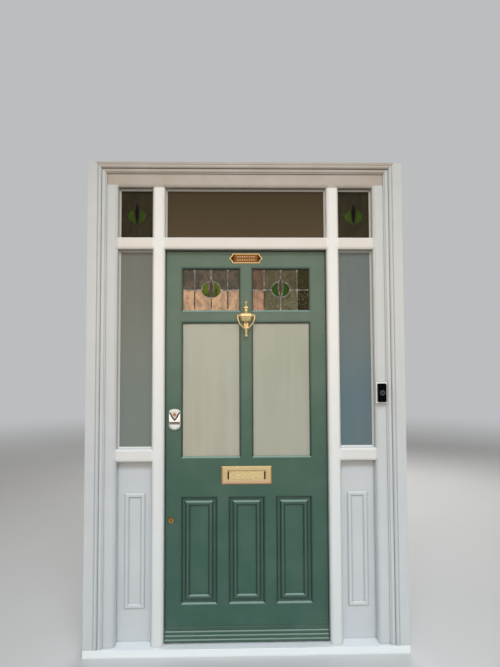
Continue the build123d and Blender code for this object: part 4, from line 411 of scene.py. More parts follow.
def push_finish(centre, dish_radius):
    """Push of the bell: a grey ring about a dark dish."""
    finish = Finish("button_grey")
    cloud = finish.noise(90.0, 3.0)
    ring = finish.away(centre).ramp(dish_radius - 0.6 * MM, dish_radius + 0.2 * MM)
    grey = finish.mix(cloud, (0.070, 0.070, 0.078), (0.10, 0.10, 0.105))
    finish.shade("Base Color", finish.mix(ring, (0.006, 0.006, 0.008), grey))
    finish.shade("Roughness", cloud * 0.15 + 0.30)
    finish.relief(cloud, 0.00003)
    return finish.done(IOR=1.4)


def frosted_finish(name, left, right, heights):
    """Frosted glass: a milky inner face behind a smooth outer one, uneven from top to bottom.

    The left and the right panes have a lower and an upper colour each, which meet between two heights.
    """
    finish = Finish(name)
    height = finish.axis("Z").ramp(*heights)
    cloud = finish.noise((5.0, 5.0, 1.6), 3.0, 0.55)
    drapes = finish.noise((22.0, 22.0, 0.9), 2.0, 0.5)
    body = finish.mix(finish.axis("X") > 0.0, finish.mix(height, *left), finish.mix(height, *right))
    shade = (cloud * 0.6 + drapes * 0.4).ramp(0.38, 0.66) * 0.22
    finish.shade("Base Color", finish.mix(shade, body, (0.20, 0.20, 0.18)))
    finish.shade("Roughness", finish.noise(300.0, 2.0) * 0.1 + 0.42)
    finish.relief(finish.noise((14.0, 14.0, 9.0), 1.0), 0.0004, 0.25)
    return finish.done(Transmission_Weight=0.15, IOR=1.45, Coat_Weight=0.6, Coat_Roughness=0.05)


def rolled_glass(finish, colour, deep, streak=(34.0, 34.0, 9.0), glint=None):
    """Streaks, gloss and dimples of rolled glass, with painted glints on the ripples where a glint colour is
    given; the two colours may be plain or worked out.
    """
    streaks = finish.noise(streak, 4.0, 0.6)
    specks = finish.noise(260.0, 3.0, 0.7)
    mask = (streaks * 0.75 + specks * 0.25).ramp(0.38, 0.62)
    sheet = finish.mix(mask, colour, deep)
    # Painted glints: lighter specks on the ripples
    if glint:
        ripples = finish.noise((70.0, 70.0, 190.0), 4.0, 0.7)
        sheet = finish.mix(ripples.ramp(0.58, 0.70) * 0.75, sheet, glint)
    finish.shade("Base Color", sheet)
    finish.shade("Roughness", streaks * 0.2 + 0.10)
    finish.relief(finish.cells(160.0) * 0.5 + streaks, 0.0010, 0.5)


def cathedral_finish(name, colour, deep, clear):
    """Machine rolled glass: streaked through its colour, and dimpled on the face."""
    finish = Finish(name)
    rolled_glass(finish, colour, deep)
    return finish.done(Transmission_Weight=clear, IOR=1.22)


def petal_finish(left, right, deep, glint):
    """Petals of the upper lights: a yellower green in the left light and a deeper one in the right."""
    finish = Finish("upper_petal_glass")
    rolled_glass(finish, finish.mix(finish.axis("X") > 0.0, left, right), deep, glint=glint)
    return finish.done(Transmission_Weight=0.08, IOR=1.25)


def quarry_finish(middle, side_came):
    """Leaded panes of the upper lights, each quarry coloured on its own as a painted reflection.

    The left light is brown above and tan below. The right one is rose, olive and dark olive from left to
    right; its middle is given as (x, z), and its side cames lie a distance to either side of it.
    """
    finish = Finish("upper_quarry_glass")
    across, up = finish.axis("X"), finish.axis("Z")
    low = up < middle[1]
    # Painted reflection: the brown, tan, rose, olive and dark olive quarries
    left = finish.mix(low, (0.128, 0.100, 0.068), (0.62, 0.375, 0.220))
    rose = finish.mix(low, (0.170, 0.095, 0.058), (0.50, 0.270, 0.170))
    olive = finish.mix(low, (0.120, 0.095, 0.050), (0.130, 0.118, 0.062))
    moss = finish.mix(low, (0.034, 0.030, 0.006), (0.027, 0.024, 0.006))
    right = finish.mix(across > middle[0] - side_came, rose, olive)
    right = finish.mix(across > middle[0] + side_came, right, moss)
    sheet = finish.mix(across > 0.0, left, right)
    shaded = finish.add("ShaderNodeMix", 2, {"data_type": "RGBA", "blend_type": "MULTIPLY"},
                        {0: 1.0, 6: sheet, 7: (0.52, 0.56, 0.60)})
    glint = finish.mix(low, (0.20, 0.165, 0.12), (0.62, 0.44, 0.29))
    rolled_glass(finish, sheet, shaded, (40.0, 40.0, 26.0), glint)
    return finish.done(Transmission_Weight=0.08, IOR=1.22)


def clear_finish(name, tint, film_colour):
    """Float glass: tinted, smooth and very slightly wavy, with a thin uneven film."""
    finish = Finish(name)
    wave = finish.noise(3.0, 1.0)
    film = finish.noise((60.0, 60.0, 25.0), 4.0, 0.6)
    finish.shade("Base Color", finish.mix(film.ramp(0.45, 0.75) * 0.25, tint, film_colour))
    finish.shade("Roughness", film * 0.05)
    finish.relief(wave, 0.0004, 0.3)
    return finish.done(Transmission_Weight=0.7, IOR=1.45)


# What the pieces share


def wear(piece, material):
    """The piece takes one material all over."""
    piece.data.materials.clear()
    piece.data.materials.append(material)


def dress(names, material):
    """CAD nodes keep their shape and take a finish."""
    for name in names:
        wear(frame["nodes"][name], material)


def placed(name, mesh):
    """An object at the origin for a mesh that already lies in its place."""
    piece = bpy.data.objects.new(name, mesh)
    bpy.context.collection.objects.link(piece)
    return piece


def kept(piece, body):
    """The piece rides on a body."""
    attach(piece, body)
    return piece


def evaluated_mesh(holder):
    """The mesh that an object's modifiers make; the object itself goes."""
    graph = bpy.context.evaluated_depsgraph_get()
    mesh = bpy.data.meshes.new_from_object(holder.evaluated_get(graph), depsgraph=graph)
    bpy.data.objects.remove(holder)
    return mesh


def softened(mesh, angle=35.0):
    """Smooth shading that stays crisp over the sharper edges."""
    mesh.shade_smooth()
    mesh.set_sharp_from_angle(angle=radians(angle))
    return mesh


def mesh_of(name, shape):
    """The plain mesh of a bmesh, with its faces turned outwards."""
    bmesh.ops.recalc_face_normals(shape, faces=shape.faces[:])
    mesh = bpy.data.meshes.new(name)
    shape.to_mesh(mesh)
    shape.free()
    return mesh


def prism(shape, outline, front, back):
    """Adds a solid with an outline of (x, z) points between two depths, and returns its front corners."""
    near = [shape.verts.new((x, front, z)) for x, z in outline]
    far = [shape.verts.new((x, back, z)) for x, z in outline]
    shape.faces.new(near)
    shape.faces.new(far[::-1])
    joined(shape, far, near)
    return near


def turned(shape, centre, profile):
    """Adds a ring turned about a level axis through (x, z), from a closed loop of (radius, depth) points."""
    steps = 56
    rings = []
    for step in range(steps):
        across, rise = cos(tau * step / steps), sin(tau * step / steps)
        rings.append([shape.verts.new((centre[0] + radius * across, depth, centre[1] + radius * rise))
                      for radius, depth in profile])
    for step, ring in enumerate(rings):
        joined(shape, ring, rings[(step + 1) % steps])


def joined(shape, row, beside, closed=True):
    """Adds the faces between two rows of corners, which are closed loops or open."""
    for index in range(len(row) if closed else len(row) - 1):
        after = (index + 1) % len(row)
        shape.faces.new((row[index], row[after], beside[after], beside[index]))


def rounded(path):
    """The open path with each corner cut twice, so that it curves."""
    for _ in range(2):
        cut = [path[0]]
        for (x, z), (next_x, next_z) in zip(path, path[1:]):
            cut.append((0.75 * x + 0.25 * next_x, 0.75 * z + 0.25 * next_z))
            cut.append((0.25 * x + 0.75 * next_x, 0.25 * z + 0.75 * next_z))
        path = [*cut, path[-1]]
    return path


def groove_cutter(name, path, half_width, front, depth, proud):
    """A V-section swept along (x, z) points, for cutting a groove into a face that looks out of the house."""
    spread = half_width * (depth + proud) / depth
    sides = []
    for (x, z), (next_x, next_z) in zip(path, path[1:]):
        length = hypot(next_x - x, next_z - z)
        sides.append(Vector(((z - next_z) / length, (next_x - x) / length)))
    shape = bmesh.new()
    stations = []
    for index, (x, z) in enumerate(path):
        before = sides[max(index - 1, 0)]
        after = sides[min(index, len(sides) - 1)]
        mitre = (before + after) / (1 + before.dot(after)) * spread
        stations.append([shape.verts.new((x + mitre.x, front - proud, z + mitre.y)),
                         shape.verts.new((x - mitre.x, front - proud, z - mitre.y)),
                         shape.verts.new((x, front + depth, z))])
    for here, beyond in zip(stations, stations[1:]):
        joined(shape, here, beyond)
    shape.faces.new(stations[0])
    shape.faces.new(stations[-1][::-1])
    return mesh_of(name, shape)


def cut_by(holder, *cutters):
    """Takes the cutters' solids away from an object and keeps its mesh."""
    tools = [placed(f"tool_{mesh.name}", mesh) for mesh in cutters]
    for tool in tools:
        modifier = holder.modifiers.new("cut", "BOOLEAN")
        modifier.operation = "DIFFERENCE"
        modifier.solver = "EXACT"
        modifier.use_self = True
        modifier.object = tool
    bpy.context.view_layer.update()
    mesh = evaluated_mesh(holder)
    for tool in tools:
        bpy.data.objects.remove(tool)
    return mesh


# Recipes for what repeats or follows a path


class Recipe(Tree):
    """A Geometry Nodes tree with named sizes, which ends in Realize Instances and Set Material."""

    def __init__(self, name, sizes):
        self.sizes = sizes
        self.group = bpy.data.node_groups.new(name, "GeometryNodeTree")
        interface = self.group.interface
        interface.new_socket("Geometry", in_out="OUTPUT", socket_type="NodeSocketGeometry")
        interface.new_socket("Geometry", in_out="INPUT", socket_type="NodeSocketGeometry")
        for label, size in sizes.items():
            socket = interface.new_socket(label, in_out="INPUT", socket_type="NodeSocketFloat")
            socket.subtype = "DISTANCE"
            socket.default_value = size
        super().__init__(self.group.nodes, self.group.links)
        self.given = self.nodes.new("NodeGroupInput")
        self.seeds = Reading(self, self.given.outputs["Geometry"])

    def size(self, label):
        return Reading(self, self.given.outputs[label])

    def vector(self, x, y, z):
        return self.add("ShaderNodeCombineXYZ", 0, None, {0: x, 1: y, 2: z})

    def moved(self, geometry, **inputs):
        return self.add("GeometryNodeTransform", 0, None, {"Geometry": geometry, **inputs})

    def copies(self, shape, **inputs):
        inputs = {"Points": self.seeds, "Instance": shape, **inputs}
        return self.add("GeometryNodeInstanceOnPoints", 0, None, inputs)

    def chance(self, low, high, seed):
        inputs = {2: low, 3: high, "Seed": seed}
        return self.add("FunctionNodeRandomValue", 1, {"data_type": "FLOAT"}, inputs)

    def ends(self, geometry, material):
        real = self.add("GeometryNodeRealizeInstances", 0, None, {0: geometry})
        dressed = self.add("GeometryNodeSetMaterial", 0, None, {"Geometry": real, "Material": material})
        self.feed(self.nodes.new("NodeGroupOutput").inputs[0], dressed)

    def make(self, name, seeds, body, slot):
        """Runs the recipe on a seed mesh and keeps the result as a plain mesh that rides on a body."""
        holder = placed(f"{name}_seeds", seeds)
        modifier = holder.modifiers.new("recipe", "NODES")
        modifier.node_group = self.group
        for item in self.group.interface.items_tree:
            if item.in_out == "INPUT" and item.name in self.sizes:
                modifier[item.identifier] = self.sizes[item.name]
        return kept(placed(name, evaluated_mesh(holder)), body)


def screw_recipe(name, radius, proud, material):
    """Slotted screw heads, each turned its own way, standing proud along the seed's facing."""
    recipe = Recipe(name, {"Radius": radius, "Proud": proud, "Slot": radius * 0.24})
    head_radius, height = recipe.size("Radius"), recipe.size("Proud")
    cone = {"Vertices": 20, "Radius Top": head_radius * 0.84, "Radius Bottom": head_radius,
            "Depth": height * 2}
    head = recipe.add("GeometryNodeMeshCone", "Mesh", None, cone)
    head = recipe.moved(head, Translation=recipe.vector(0.0, 0.0, 0 - height))
    bar = recipe.vector(head_radius * 3, recipe.size("Slot"), height)
    bar = recipe.add("GeometryNodeMeshCube", "Mesh", None, {"Size": bar})
    bar = recipe.moved(bar, Translation=recipe.vector(0.0, 0.0, height * 0.8))
    cut = {"operation": "DIFFERENCE", "solver": "EXACT"}
    head = recipe.add("GeometryNodeMeshBoolean", 0, cut, {0: head, 1: bar})
    vectors = {"data_type": "FLOAT_VECTOR"}
    facing = recipe.add("GeometryNodeInputNamedAttribute", 0, vectors, {"Name": "facing"})
    aim = recipe.add("FunctionNodeAlignRotationToVector", 0, {"axis": "Z"}, {"Vector": facing})
    spin = {"Axis": (0, 0, 1), "Angle": recipe.chance(0.0, pi, 5)}
    spin = recipe.add("FunctionNodeAxisAngleToRotation", 0, None, spin)
    turn = {"Rotation": aim, "Rotate By": spin}
    turn = recipe.add("FunctionNodeRotateRotation", 0, {"rotation_space": "LOCAL"}, turn)
    recipe.ends(recipe.copies(head, Rotation=turn), material)
    return recipe


def solder_recipe(material, radius, proud):
    """Flat blobs of solder of uneven size, on both faces of the lead."""
    recipe = Recipe("solder_joints", {"Radius": radius, "Proud": proud})
    ball = {"Segments": 14, "Rings": 8, "Radius": recipe.size("Radius")}
    blob = recipe.add("GeometryNodeMeshUVSphere", "Mesh", None, ball)
    flat = recipe.vector(1.0, recipe.size("Proud") / recipe.size("Radius"), 1.0)
    blob = recipe.moved(blob, Scale=flat)
    across, up = recipe.chance(0.80, 1.15, 3), recipe.chance(0.80, 1.15, 4)
    recipe.ends(recipe.copies(blob, Scale=recipe.vector(across, 1.0, up)), material)
    return recipe


def seal_recipe(material, radius):
    """A round bulb of rubber along the seed's edges."""
    recipe = Recipe("draught_bulb", {"Radius": radius})
    path = recipe.add("GeometryNodeMeshToCurve", 0, None, {0: recipe.seeds})
    circle = {"Resolution": 10, "Radius": recipe.size("Radius")}
    bulb = recipe.add("GeometryNodeCurvePrimitiveCircle", "Curve", None, circle)
    tube = {"Curve": path, "Profile Curve": bulb, "Fill Caps": True}
    recipe.ends(recipe.add("GeometryNodeCurveToMesh", 0, None, tube), material)
    return recipe


def seed_mesh(name, places, facings=None, path=False):
    """Points for a recipe, in metres; they may carry a facing each, or be joined into one path."""
    mesh = bpy.data.meshes.new(name)
    edges = [(index, index + 1) for index in range(len(places) - 1)] if path else []
    mesh.from_pydata(places, edges, [])
    if facings:
        facing = mesh.attributes.new("facing", "FLOAT_VECTOR", "POINT")
        for datum, value in zip(facing.data, facings):
            datum.vector = value
    return mesh


# The stage


class DOOR_OT_stage(Operator):
    """Makes the floor, the lights and the camera"""
    bl_idname = "front_door.stage"
    bl_label = "Stage"

    FRONT = (1.50, 1.22, 0.90)
    OVERHEAD = (0.40, 0.40, 0.39)
    BEHIND = (0.10, 0.09, 0.075)
    GROUND = (0.34, 0.37, 0.40)
    BACKDROP = (0.50, 0.51, 0.52)
    FLOOR_REACH = 14.0
    FLOOR_FADE = (3.5, 12.0)
    # Name, place, target, size, power in watts, colour and spread in degrees
    LAMPS = (
        ("sky", (0.3, -3.4, 4.4), (0.0, 0.0, 0.5), (3.0, 1.2), 33.0, (0.84, 0.92, 1.0), 80.0),
        ("front", (-0.3, -3.0, 2.3), (0.0, 0.0, 1.9), (2.2, 1.0), 6.0, (1.0, 0.95, 0.88), 110.0),
        ("behind", (1.6, 4.4, 3.8), (0.0, 0.0, 1.2), (4.0, 3.0), 190.0, (1.0, 0.98, 0.95), 180.0),
    )

    def execute(self, context):
        context.scene.view_settings.view_transform = "Standard"
        self.make_floor()
        self.make_world(context.scene)
        for lamp in self.LAMPS:
            self.make_light(*lamp)
        self.make_camera(context)
        return {"FINISHED"}

    def make_floor(self):
        """A pale floor that fades out far from the door."""
        mesh = bpy.data.meshes.new("floor")
        reach = self.FLOOR_REACH
        corners = [(-reach, -reach, 0), (reach, -reach, 0), (reach, reach, 0), (-reach, reach, 0)]
        mesh.from_pydata(corners, [], [(0, 1, 2, 3)])
        floor = placed("floor", mesh)
        finish = Finish("pale_floor")
        cloud = finish.noise(1.2, 4.0)
        finish.shade("Base Color", finish.mix(cloud, (0.64, 0.65, 0.66), (0.69, 0.70, 0.71)))
        finish.shade("Roughness", cloud * 0.1 + 0.6)
        finish.relief(finish.noise(240.0, 3.0), 0.0003)
        across, along = finish.axis("X"), finish.axis("Y")
        away = (across * across + along * along) ** 0.5
        finish.shade("Alpha", 1 - away.ramp(*self.FLOOR_FADE))
        wear(floor, finish.done())

    def make_world(self, scene):
        """A soft warm band in front, shade over it and behind the door, and a plain ground and backdrop."""
        world = bpy.data.worlds.new("studio")
        world.use_nodes = True
        tree = Tree(world.node_tree.nodes, world.node_tree.links)
        background = next(node for node in tree.nodes if node.type == "BACKGROUND")
        way = tree.add("ShaderNodeTexCoord", "Generated")
        front = (0 - tree.add("ShaderNodeSeparateXYZ", "Y", None, {0: way})).ramp(-0.15, 0.30)
        height = tree.add("ShaderNodeSeparateXYZ", "Z", None, {0: way})
        low = tree.mix(height.ramp(-0.10, 0.06), self.GROUND, self.FRONT)
        sky = tree.mix(height.ramp(0.17, 0.33), low, self.OVERHEAD)
        dome = tree.mix(front, self.BEHIND, sky)
        seen = tree.add("ShaderNodeLightPath", "Is Camera Ray")
        tree.feed(background.inputs["Color"], tree.mix(seen, dome, self.BACKDROP))
        scene.world = world

    def make_light(self, name, place, target, size, power, colour, spread):
        lamp = bpy.data.lights.new(name, "AREA")
        lamp.shape = "RECTANGLE"
        lamp.size, lamp.size_y = size
        lamp.energy = power
        lamp.color = colour
        lamp.spread = radians(spread)
        light = bpy.data.objects.new(name, lamp)
        light.location = place
        light.rotation_euler = (Vector(target) - Vector(place)).to_track_quat("-Z", "Y").to_euler()
        light.visible_camera = False
        light.visible_glossy = False
        light.visible_transmission = False
        bpy.context.collection.objects.link(light)

    def make_camera(self, context):
        """The camera where the photo was taken from, at its angle."""
        studio = context.scene.front_door.studio
        lens = bpy.data.cameras.new("camera")
        lens.sensor_fit = "AUTO"
        lens.sensor_width = studio.sensor
        lens.lens = studio.focal_pixels / studio.photo_height * studio.sensor
        camera = bpy.data.objects.new("camera", lens)
        turn = Matrix.Rotation(-studio.turn, 4, "Z")
        tilt = Matrix.Rotation(pi / 2 + studio.tilt, 4, "X")
        roll = Matrix.Rotation(studio.roll, 4, "Z")
        camera.matrix_world = Matrix.Translation(studio.eye) @ turn @ tilt @ roll
        context.collection.objects.link(camera)
        context.scene.camera = camera


# The pieces


class DOOR_OT_joinery(Operator):
    """Paints the leaf and the frame"""
    bl_idname = "front_door.joinery"
    bl_label = "Joinery"

    UPRIGHT = (1, 1, 0)
    LEVEL = (0, 1, 1)
    # The leaf's thin patches are wear; its lighter upward slopes and darker sideways slopes and corners are
    # painted light and shade
    LEAF_WEAR_AND_SHADE = {"roughness": 0.36, "thin": 0.025, "lit_colour": (0.25, 0.375, 0.34), "lit_weight": 0.85,
                 "shade_weight": 0.64}

    def execute(self, context):
        paint = context.scene.front_door.paint
        green = tuple(paint.leaf), tuple(paint.leaf_high)
        # The glazing beads' coats, at half the leaf's brightness, are painted shade
        bead_shade_coats = tuple(tuple(0.5 * part for part in coat) for coat in green)
        white = tuple(paint.frame), tuple(paint.frame_high)
        # The transoms' high coat is darkened and warmed as painted shade
        darkened = white[0], tuple(part * shade for part, shade in zip(white[1], paint.transom_shade))
        # The sill's brighter, bluer low coat is painted light
        sill = tuple(paint.sill), white[1]
        # Posts, architraves and aprons take darker coats as painted shade
        outer = tuple(paint.outer), tuple(paint.outer_high)
        # The head takes a dark brown coat as painted shade
        head = tuple(paint.head), tuple(paint.head)
        steps = (
            ("leaf_paint_upright", green, self.UPRIGHT, self.LEAF_WEAR_AND_SHADE,
             ("lock_stile", "hinge_stile", "glazing_muntins", "panel_muntins", "door_panels",
              "panel_mouldings")),
            ("leaf_paint_level", green, self.LEVEL, self.LEAF_WEAR_AND_SHADE,
             ("top_rail", "glazing_rail", "lock_rail", "bottom_rail", "weatherboard")),
            ("bead_paint", bead_shade_coats, self.LEVEL, self.LEAF_WEAR_AND_SHADE, ("door_glazing_beads",)),
            ("frame_paint_upright", white, self.UPRIGHT, {}, ("left_mullion", "right_mullion")),
            ("frame_paint_level", darkened, self.LEVEL, {"grime_and_shade": 0.6, "shade_weight": 0.12},
             ("door_transom", "side_transoms", "side_rails", "frame_glazing_beads")),
            ("sill_paint", sill, self.LEVEL, {"dust": 0.05, "shade_weight": 0.0}, ("sill",)),
            ("outer_paint_upright", outer, self.UPRIGHT, {},
             ("left_post", "right_post", "side_architraves", "apron_panels", "apron_mouldings")),
            ("outer_paint_level", head, self.LEVEL, {"grime_and_shade": 0.4}, ("head", "head_architrave")),
        )
        for name, coats, stretch, habits, members in steps:
            dress(members, paint_finish(name, *coats, stretch, paint.brush_depth, **habits))
        return {"FINISHED"}


class DOOR_OT_draught_seal(Operator):
    """Runs a dark rubber bulb up, over and down the doorway, against the closed leaf; its near-black also
    stands in for the shadow line round the leaf as painted shade
    """
    bl_idname = "front_door.draught_seal"
    bl_label = "Draught seal"

    RADIUS = 1.6 * MM
    CLEARANCE = 0.3 * MM
    FOOT_GAP = 3.0 * MM

    def execute(self, context):
        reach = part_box("right_mullion")[0].x - self.RADIUS
        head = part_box("door_transom")[0].z - self.RADIUS
        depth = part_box("lock_stile")[0].y - self.RADIUS - self.CLEARANCE
        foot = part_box("weatherboard")[1].z + self.FOOT_GAP
        corners = [(-reach, depth, foot), (-reach, depth, head), (reach, depth, head), (reach, depth, foot)]
        # The seal's near-black rubber is partly a real seal, partly painted shade for the line round the leaf
        rubber = plastic_finish("seal_rubber", (0.010, 0.012, 0.011), (0.020, 0.022, 0.020), 0.6, 1.4)
        seeds = seed_mesh("draught_path", corners, path=True)
        seal_recipe(rubber, self.RADIUS).make("draught_seal", seeds, "frame", "button_plastic")
        return {"FINISHED"}


# Millimetres: middles of the right leaded lights as (x, z), and the reach of the upper lights' side cames
UPPER_LIGHT = (195.5, 1957.0)
CORNER_LIGHT = (610.5, 2383.0)
SIDE_CAME = 93.0


class DOOR_OT_glazing(Operator):
    """Gives the panes their glass and the leaded lights their lead"""
    bl_idname = "front_door.glazing"
    bl_label = "Glazing"

    # Painted shade on the upper lead: a corner as (x, z) in metres, left of and under which it darkens
    SHADED_LEAD = (112.0 * MM, 1952.0 * MM)
    # A lower and an upper colour on the left and on the right, and the heights between which they meet
    LOWER_PANES = (((0.50, 0.48, 0.39), (0.45, 0.45, 0.36)),
                   ((0.45, 0.45, 0.37), (0.43, 0.43, 0.34)), (1.1, 1.7))
    SIDELIGHTS = (((0.195, 0.232, 0.207), (0.134, 0.144, 0.118)),
                  ((0.110, 0.180, 0.210), (0.106, 0.140, 0.138)), (1.2, 2.1))
    # A main colour and the colour of its streaks
    CORNER_GLASS = (0.036, 0.028, 0.013), (0.022, 0.018, 0.009)
    CORNER_PETAL = (0.040, 0.078, 0.004), (0.018, 0.045, 0.002)
    CORNER_BUD = (0.003, 0.002, 0.004), (0.002, 0.001, 0.002)
    UPPER_BUD = (0.130, 0.065, 0.045), (0.070, 0.030, 0.026)
    # Left, right, streaks and glints
    UPPER_PETALS = (0.110, 0.150, 0.004), (0.012, 0.064, 0.0), (0.016, 0.042, 0.0), (0.17, 0.28, 0.02)
    UPPER_LEAD = (0.13, 0.125, 0.12), (0.44, 0.42, 0.40)
    CORNER_LEAD = (0.016, 0.012, 0.007), (0.050, 0.042, 0.030)

    def execute(self, context):
        middle = tuple(size * MM for size in UPPER_LIGHT)
        dress(["lower_panes"], frosted_finish("lower_pane_glass", *self.LOWER_PANES))
        dress(["sidelight_panes"], frosted_finish("sidelight_glass", *self.SIDELIGHTS))
        dress(["fanlight_pane"], clear_finish("fanlight_glass", (0.15, 0.098, 0.040), (0.12, 0.085, 0.05)))
        dress(["corner_light_glass"], cathedral_finish("corner_glass", *self.CORNER_GLASS, 0.05))
        dress(["upper_light_glass"], quarry_finish(middle, SIDE_CAME * MM))
        dress(["corner_light_petals"], cathedral_finish("corner_petal_glass", *self.CORNER_PETAL, 0.05))
        dress(["upper_light_petals"], petal_finish(*self.UPPER_PETALS))
        dress(["corner_light_buds"], cathedral_finish("corner_bud_glass", *self.CORNER_BUD, 0.05))
        dress(["upper_light_buds"], cathedral_finish("upper_bud_glass", *self.UPPER_BUD, 0.08))
        dress(["upper_light_cames"], lead_finish("upper_lead", *self.UPPER_LEAD, *self.SHADED_LEAD))
        dress(["corner_light_cames"], lead_finish("corner_lead", *self.CORNER_LEAD))
        return {"FINISHED"}


class DOOR_OT_solder(Operator):
    """Wipes solder over the joints of the leaded lights"""
    bl_idname = "front_door.solder"
    bl_label = "Solder"

    # Millimetres from a light's middle: half its sight size, its upright cames, how far the petals' middle is
    # lifted and the bud rises over them, and the depths of the lead's two faces
    UPPER = {"half": (156.5, 115.0), "sides": (-SIDE_CAME, 0.0, SIDE_CAME), "lift": 4.0, "rise": 22.0,
             "faces": (61.0, 65.0)}
    CORNER = {"half": (95.5, 139.0), "sides": (0.0,), "lift": -11.0, "rise": 36.0, "faces": (45.0, 49.0)}
    INSET = 4.6
    PETALS_HALF = (56.0, 44.0)
    BUD_GAP = 3.0
    RADIUS = 3.8 * MM
    PROUD = 0.9 * MM

    def execute(self, context):
        bright = lead_finish("solder", (0.42, 0.42, 0.42), (0.70, 0.69, 0.67))
        dull = lead_finish("dull_solder", (0.05, 0.042, 0.032), (0.11, 0.10, 0.08))
        self.wipe("upper", UPPER_LIGHT, self.UPPER, "leaf", bright)
        self.wipe("corner", CORNER_LIGHT, self.CORNER, "frame", dull)
        return {"FINISHED"}

    def wipe(self, name, middle, light, body, material):
        """Solders the left and the right light of a pair."""
        places = [place for side in (-1, 1) for place in self.joints(side * middle[0], middle[1], light)]
        recipe = solder_recipe(material, self.RADIUS, self.PROUD)
        recipe.make(f"{name}_solder", seed_mesh(f"{name}_joints", places), body, "lead")

    def joints(self, centre, middle, light):
        """Where cames cross or end, on both faces: at the sight line, the petals and the bud's ends."""
        across, up = (half - self.INSET for half in light["half"])
        petals_across, petals_up = self.PETALS_HALF
        bud_foot = light["lift"] - petals_up - self.BUD_GAP
        bud_top = light["lift"] + petals_up + light["rise"] + self.BUD_GAP
        flat = [(side, end) for side in light["sides"] for end in (-up, up)]
        flat += [(side, 0.0) for side in light["sides"] if side]
        flat += [(end, 0.0) for end in (-across, across, -petals_across, petals_across)]
        flat += [(0.0, bud_foot), (0.0, bud_top)]
        return [((centre + x) * MM, y * MM, (middle + z) * MM) for x, z in flat for y in light["faces"]]


class DOOR_OT_brassware(Operator):
    """Finishes the knocker, the letter plate and the plaque"""
    bl_idname = "front_door.brassware"
    bl_label = "Brassware"

    def execute(self, context):
        metal = context.scene.front_door.metal
        brass, tarnish = tuple(metal.brass), tuple(metal.tarnish)
        knocker = brass_finish("knocker_brass", brass, tarnish, roughness=0.17, metallic=0.8)
        plate = brass_finish("letter_plate_brass", brass, (0.46, 0.20, 0.075), brushed=(90.0, 500.0, 500.0),
                             browning=(0.60, 0.90), roughness=0.24, bevel_shade=0.85, metallic=0.6,
                             foot=(888.0 * MM, 912.0 * MM, (0.92, 0.64, 0.42)))
        flap = brass_finish("letter_flap_brass", brass, tarnish, brushed=(9.0, 700.0, 700.0),
                            browning=(0.66, 0.95), roughness=0.27, metallic=0.55)
        plaque = plaque_finish(rim=(0.86, 0.68, 0.38), stud=(1.0, 0.92, 0.74), field=(0.33, 0.155, 0.055),
                               corner=(0.08, 0.04, 0.012))
        dress(["knocker_body", "knocker_ring"], knocker)
        dress(["letter_plate", "letter_plate_bolts"], plate)
        dress(["letter_flap"], flap)
        dress(["plaque"], plaque)
        return {"FINISHED"}


class DOOR_OT_knocker_band(Operator):
    """Fits the broad polished band round the knocker's urn"""
    bl_idname = "front_door.knocker_band"
    bl_label = "Knocker band"

    PIVOT_HEIGHT = 1811.0 * MM
    # Millimetres: (radius, height from the pivot) from the band's foot up over its rim
    RIM = ((39.2, -11.0), (40.8, -10.2), (41.5, -8.4), (41.8, -4.0), (41.9, 0.5), (41.8, 5.0), (41.5, 9.4),
           (40.8, 11.2), (39.2, 12.0), (24.0, 14.0))
    STEPS = 72

    def execute(self, context):
        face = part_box("glazing_rail")[0].y
        shape = bmesh.new()
        foot, crown = (shape.verts.new((0.0, face, self.PIVOT_HEIGHT + rise * MM))
                       for _, rise in (self.RIM[0], self.RIM[-1]))
        rows = []
        for step in range(self.STEPS + 1):
            across, out = cos(pi * step / self.STEPS), sin(pi * step / self.STEPS)
            rows.append([shape.verts.new((radius * MM * across, face - radius * MM * out,
                                          self.PIVOT_HEIGHT + rise * MM)) for radius, rise in self.RIM])
        for row, beside in zip(rows, rows[1:]):
            shape.faces.new((foot, row[0], beside[0]))
            shape.faces.new((crown, beside[-1], row[-1]))
            joined(shape, row, beside, closed=False)
        shape.faces.new([foot, *rows[0], crown, *reversed(rows[-1])])
        band = placed("knocker_band", softened(mesh_of("knocker_band", shape), 40.0))
        tarnish = tuple(context.scene.front_door.metal.tarnish)
        wear(band, brass_finish("band_brass", (0.97, 0.80, 0.47), tarnish, browning=(0.60, 0.85),
                                roughness=0.15, metallic=0.85))
        kept(band, "leaf")
        return {"FINISHED"}


class DOOR_OT_letter_cheeks(Operator):
    """Closes the gaps beside the letter flap with the dark cheeks that its rod turns in; their dark brass is
    painted shade in the gaps
    """
    bl_idname = "front_door.letter_cheeks"
    bl_label = "Letter plate cheeks"

    FLAP_HALF = 95.5 * MM
    MOUTH_HALF = 103.0 * MM
    FOOT = 908.3 * MM
    TOP = 953.7 * MM
    DEPTHS = (0.5 * MM, 8.0 * MM)

    def execute(self, context):
        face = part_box("lock_rail")[0].y
        front, back = (face + depth for depth in self.DEPTHS)
        shape = bmesh.new()
        for side in (-1, 1):
            near, far = sorted((side * (self.FLAP_HALF + 0.5 * MM), side * (self.MOUTH_HALF - 0.2 * MM)))
            outline = [(near, self.FOOT), (far, self.FOOT), (far, self.TOP), (near, self.TOP)]
            prism(shape, outline, front, back)
        bmesh.ops.bevel(shape, geom=shape.edges[:], offset=0.7 * MM, segments=2, affect="EDGES")
        cheeks = placed("letter_cheeks", softened(mesh_of("letter_cheeks", shape)))
        # Near-black brass: painted shade in the gaps beside the flap
        wear(cheeks, brass_finish("cheek_brass", (0.10, 0.055, 0.020), (0.04, 0.022, 0.010), roughness=0.45))
        kept(cheeks, "leaf")
        return {"FINISHED"}


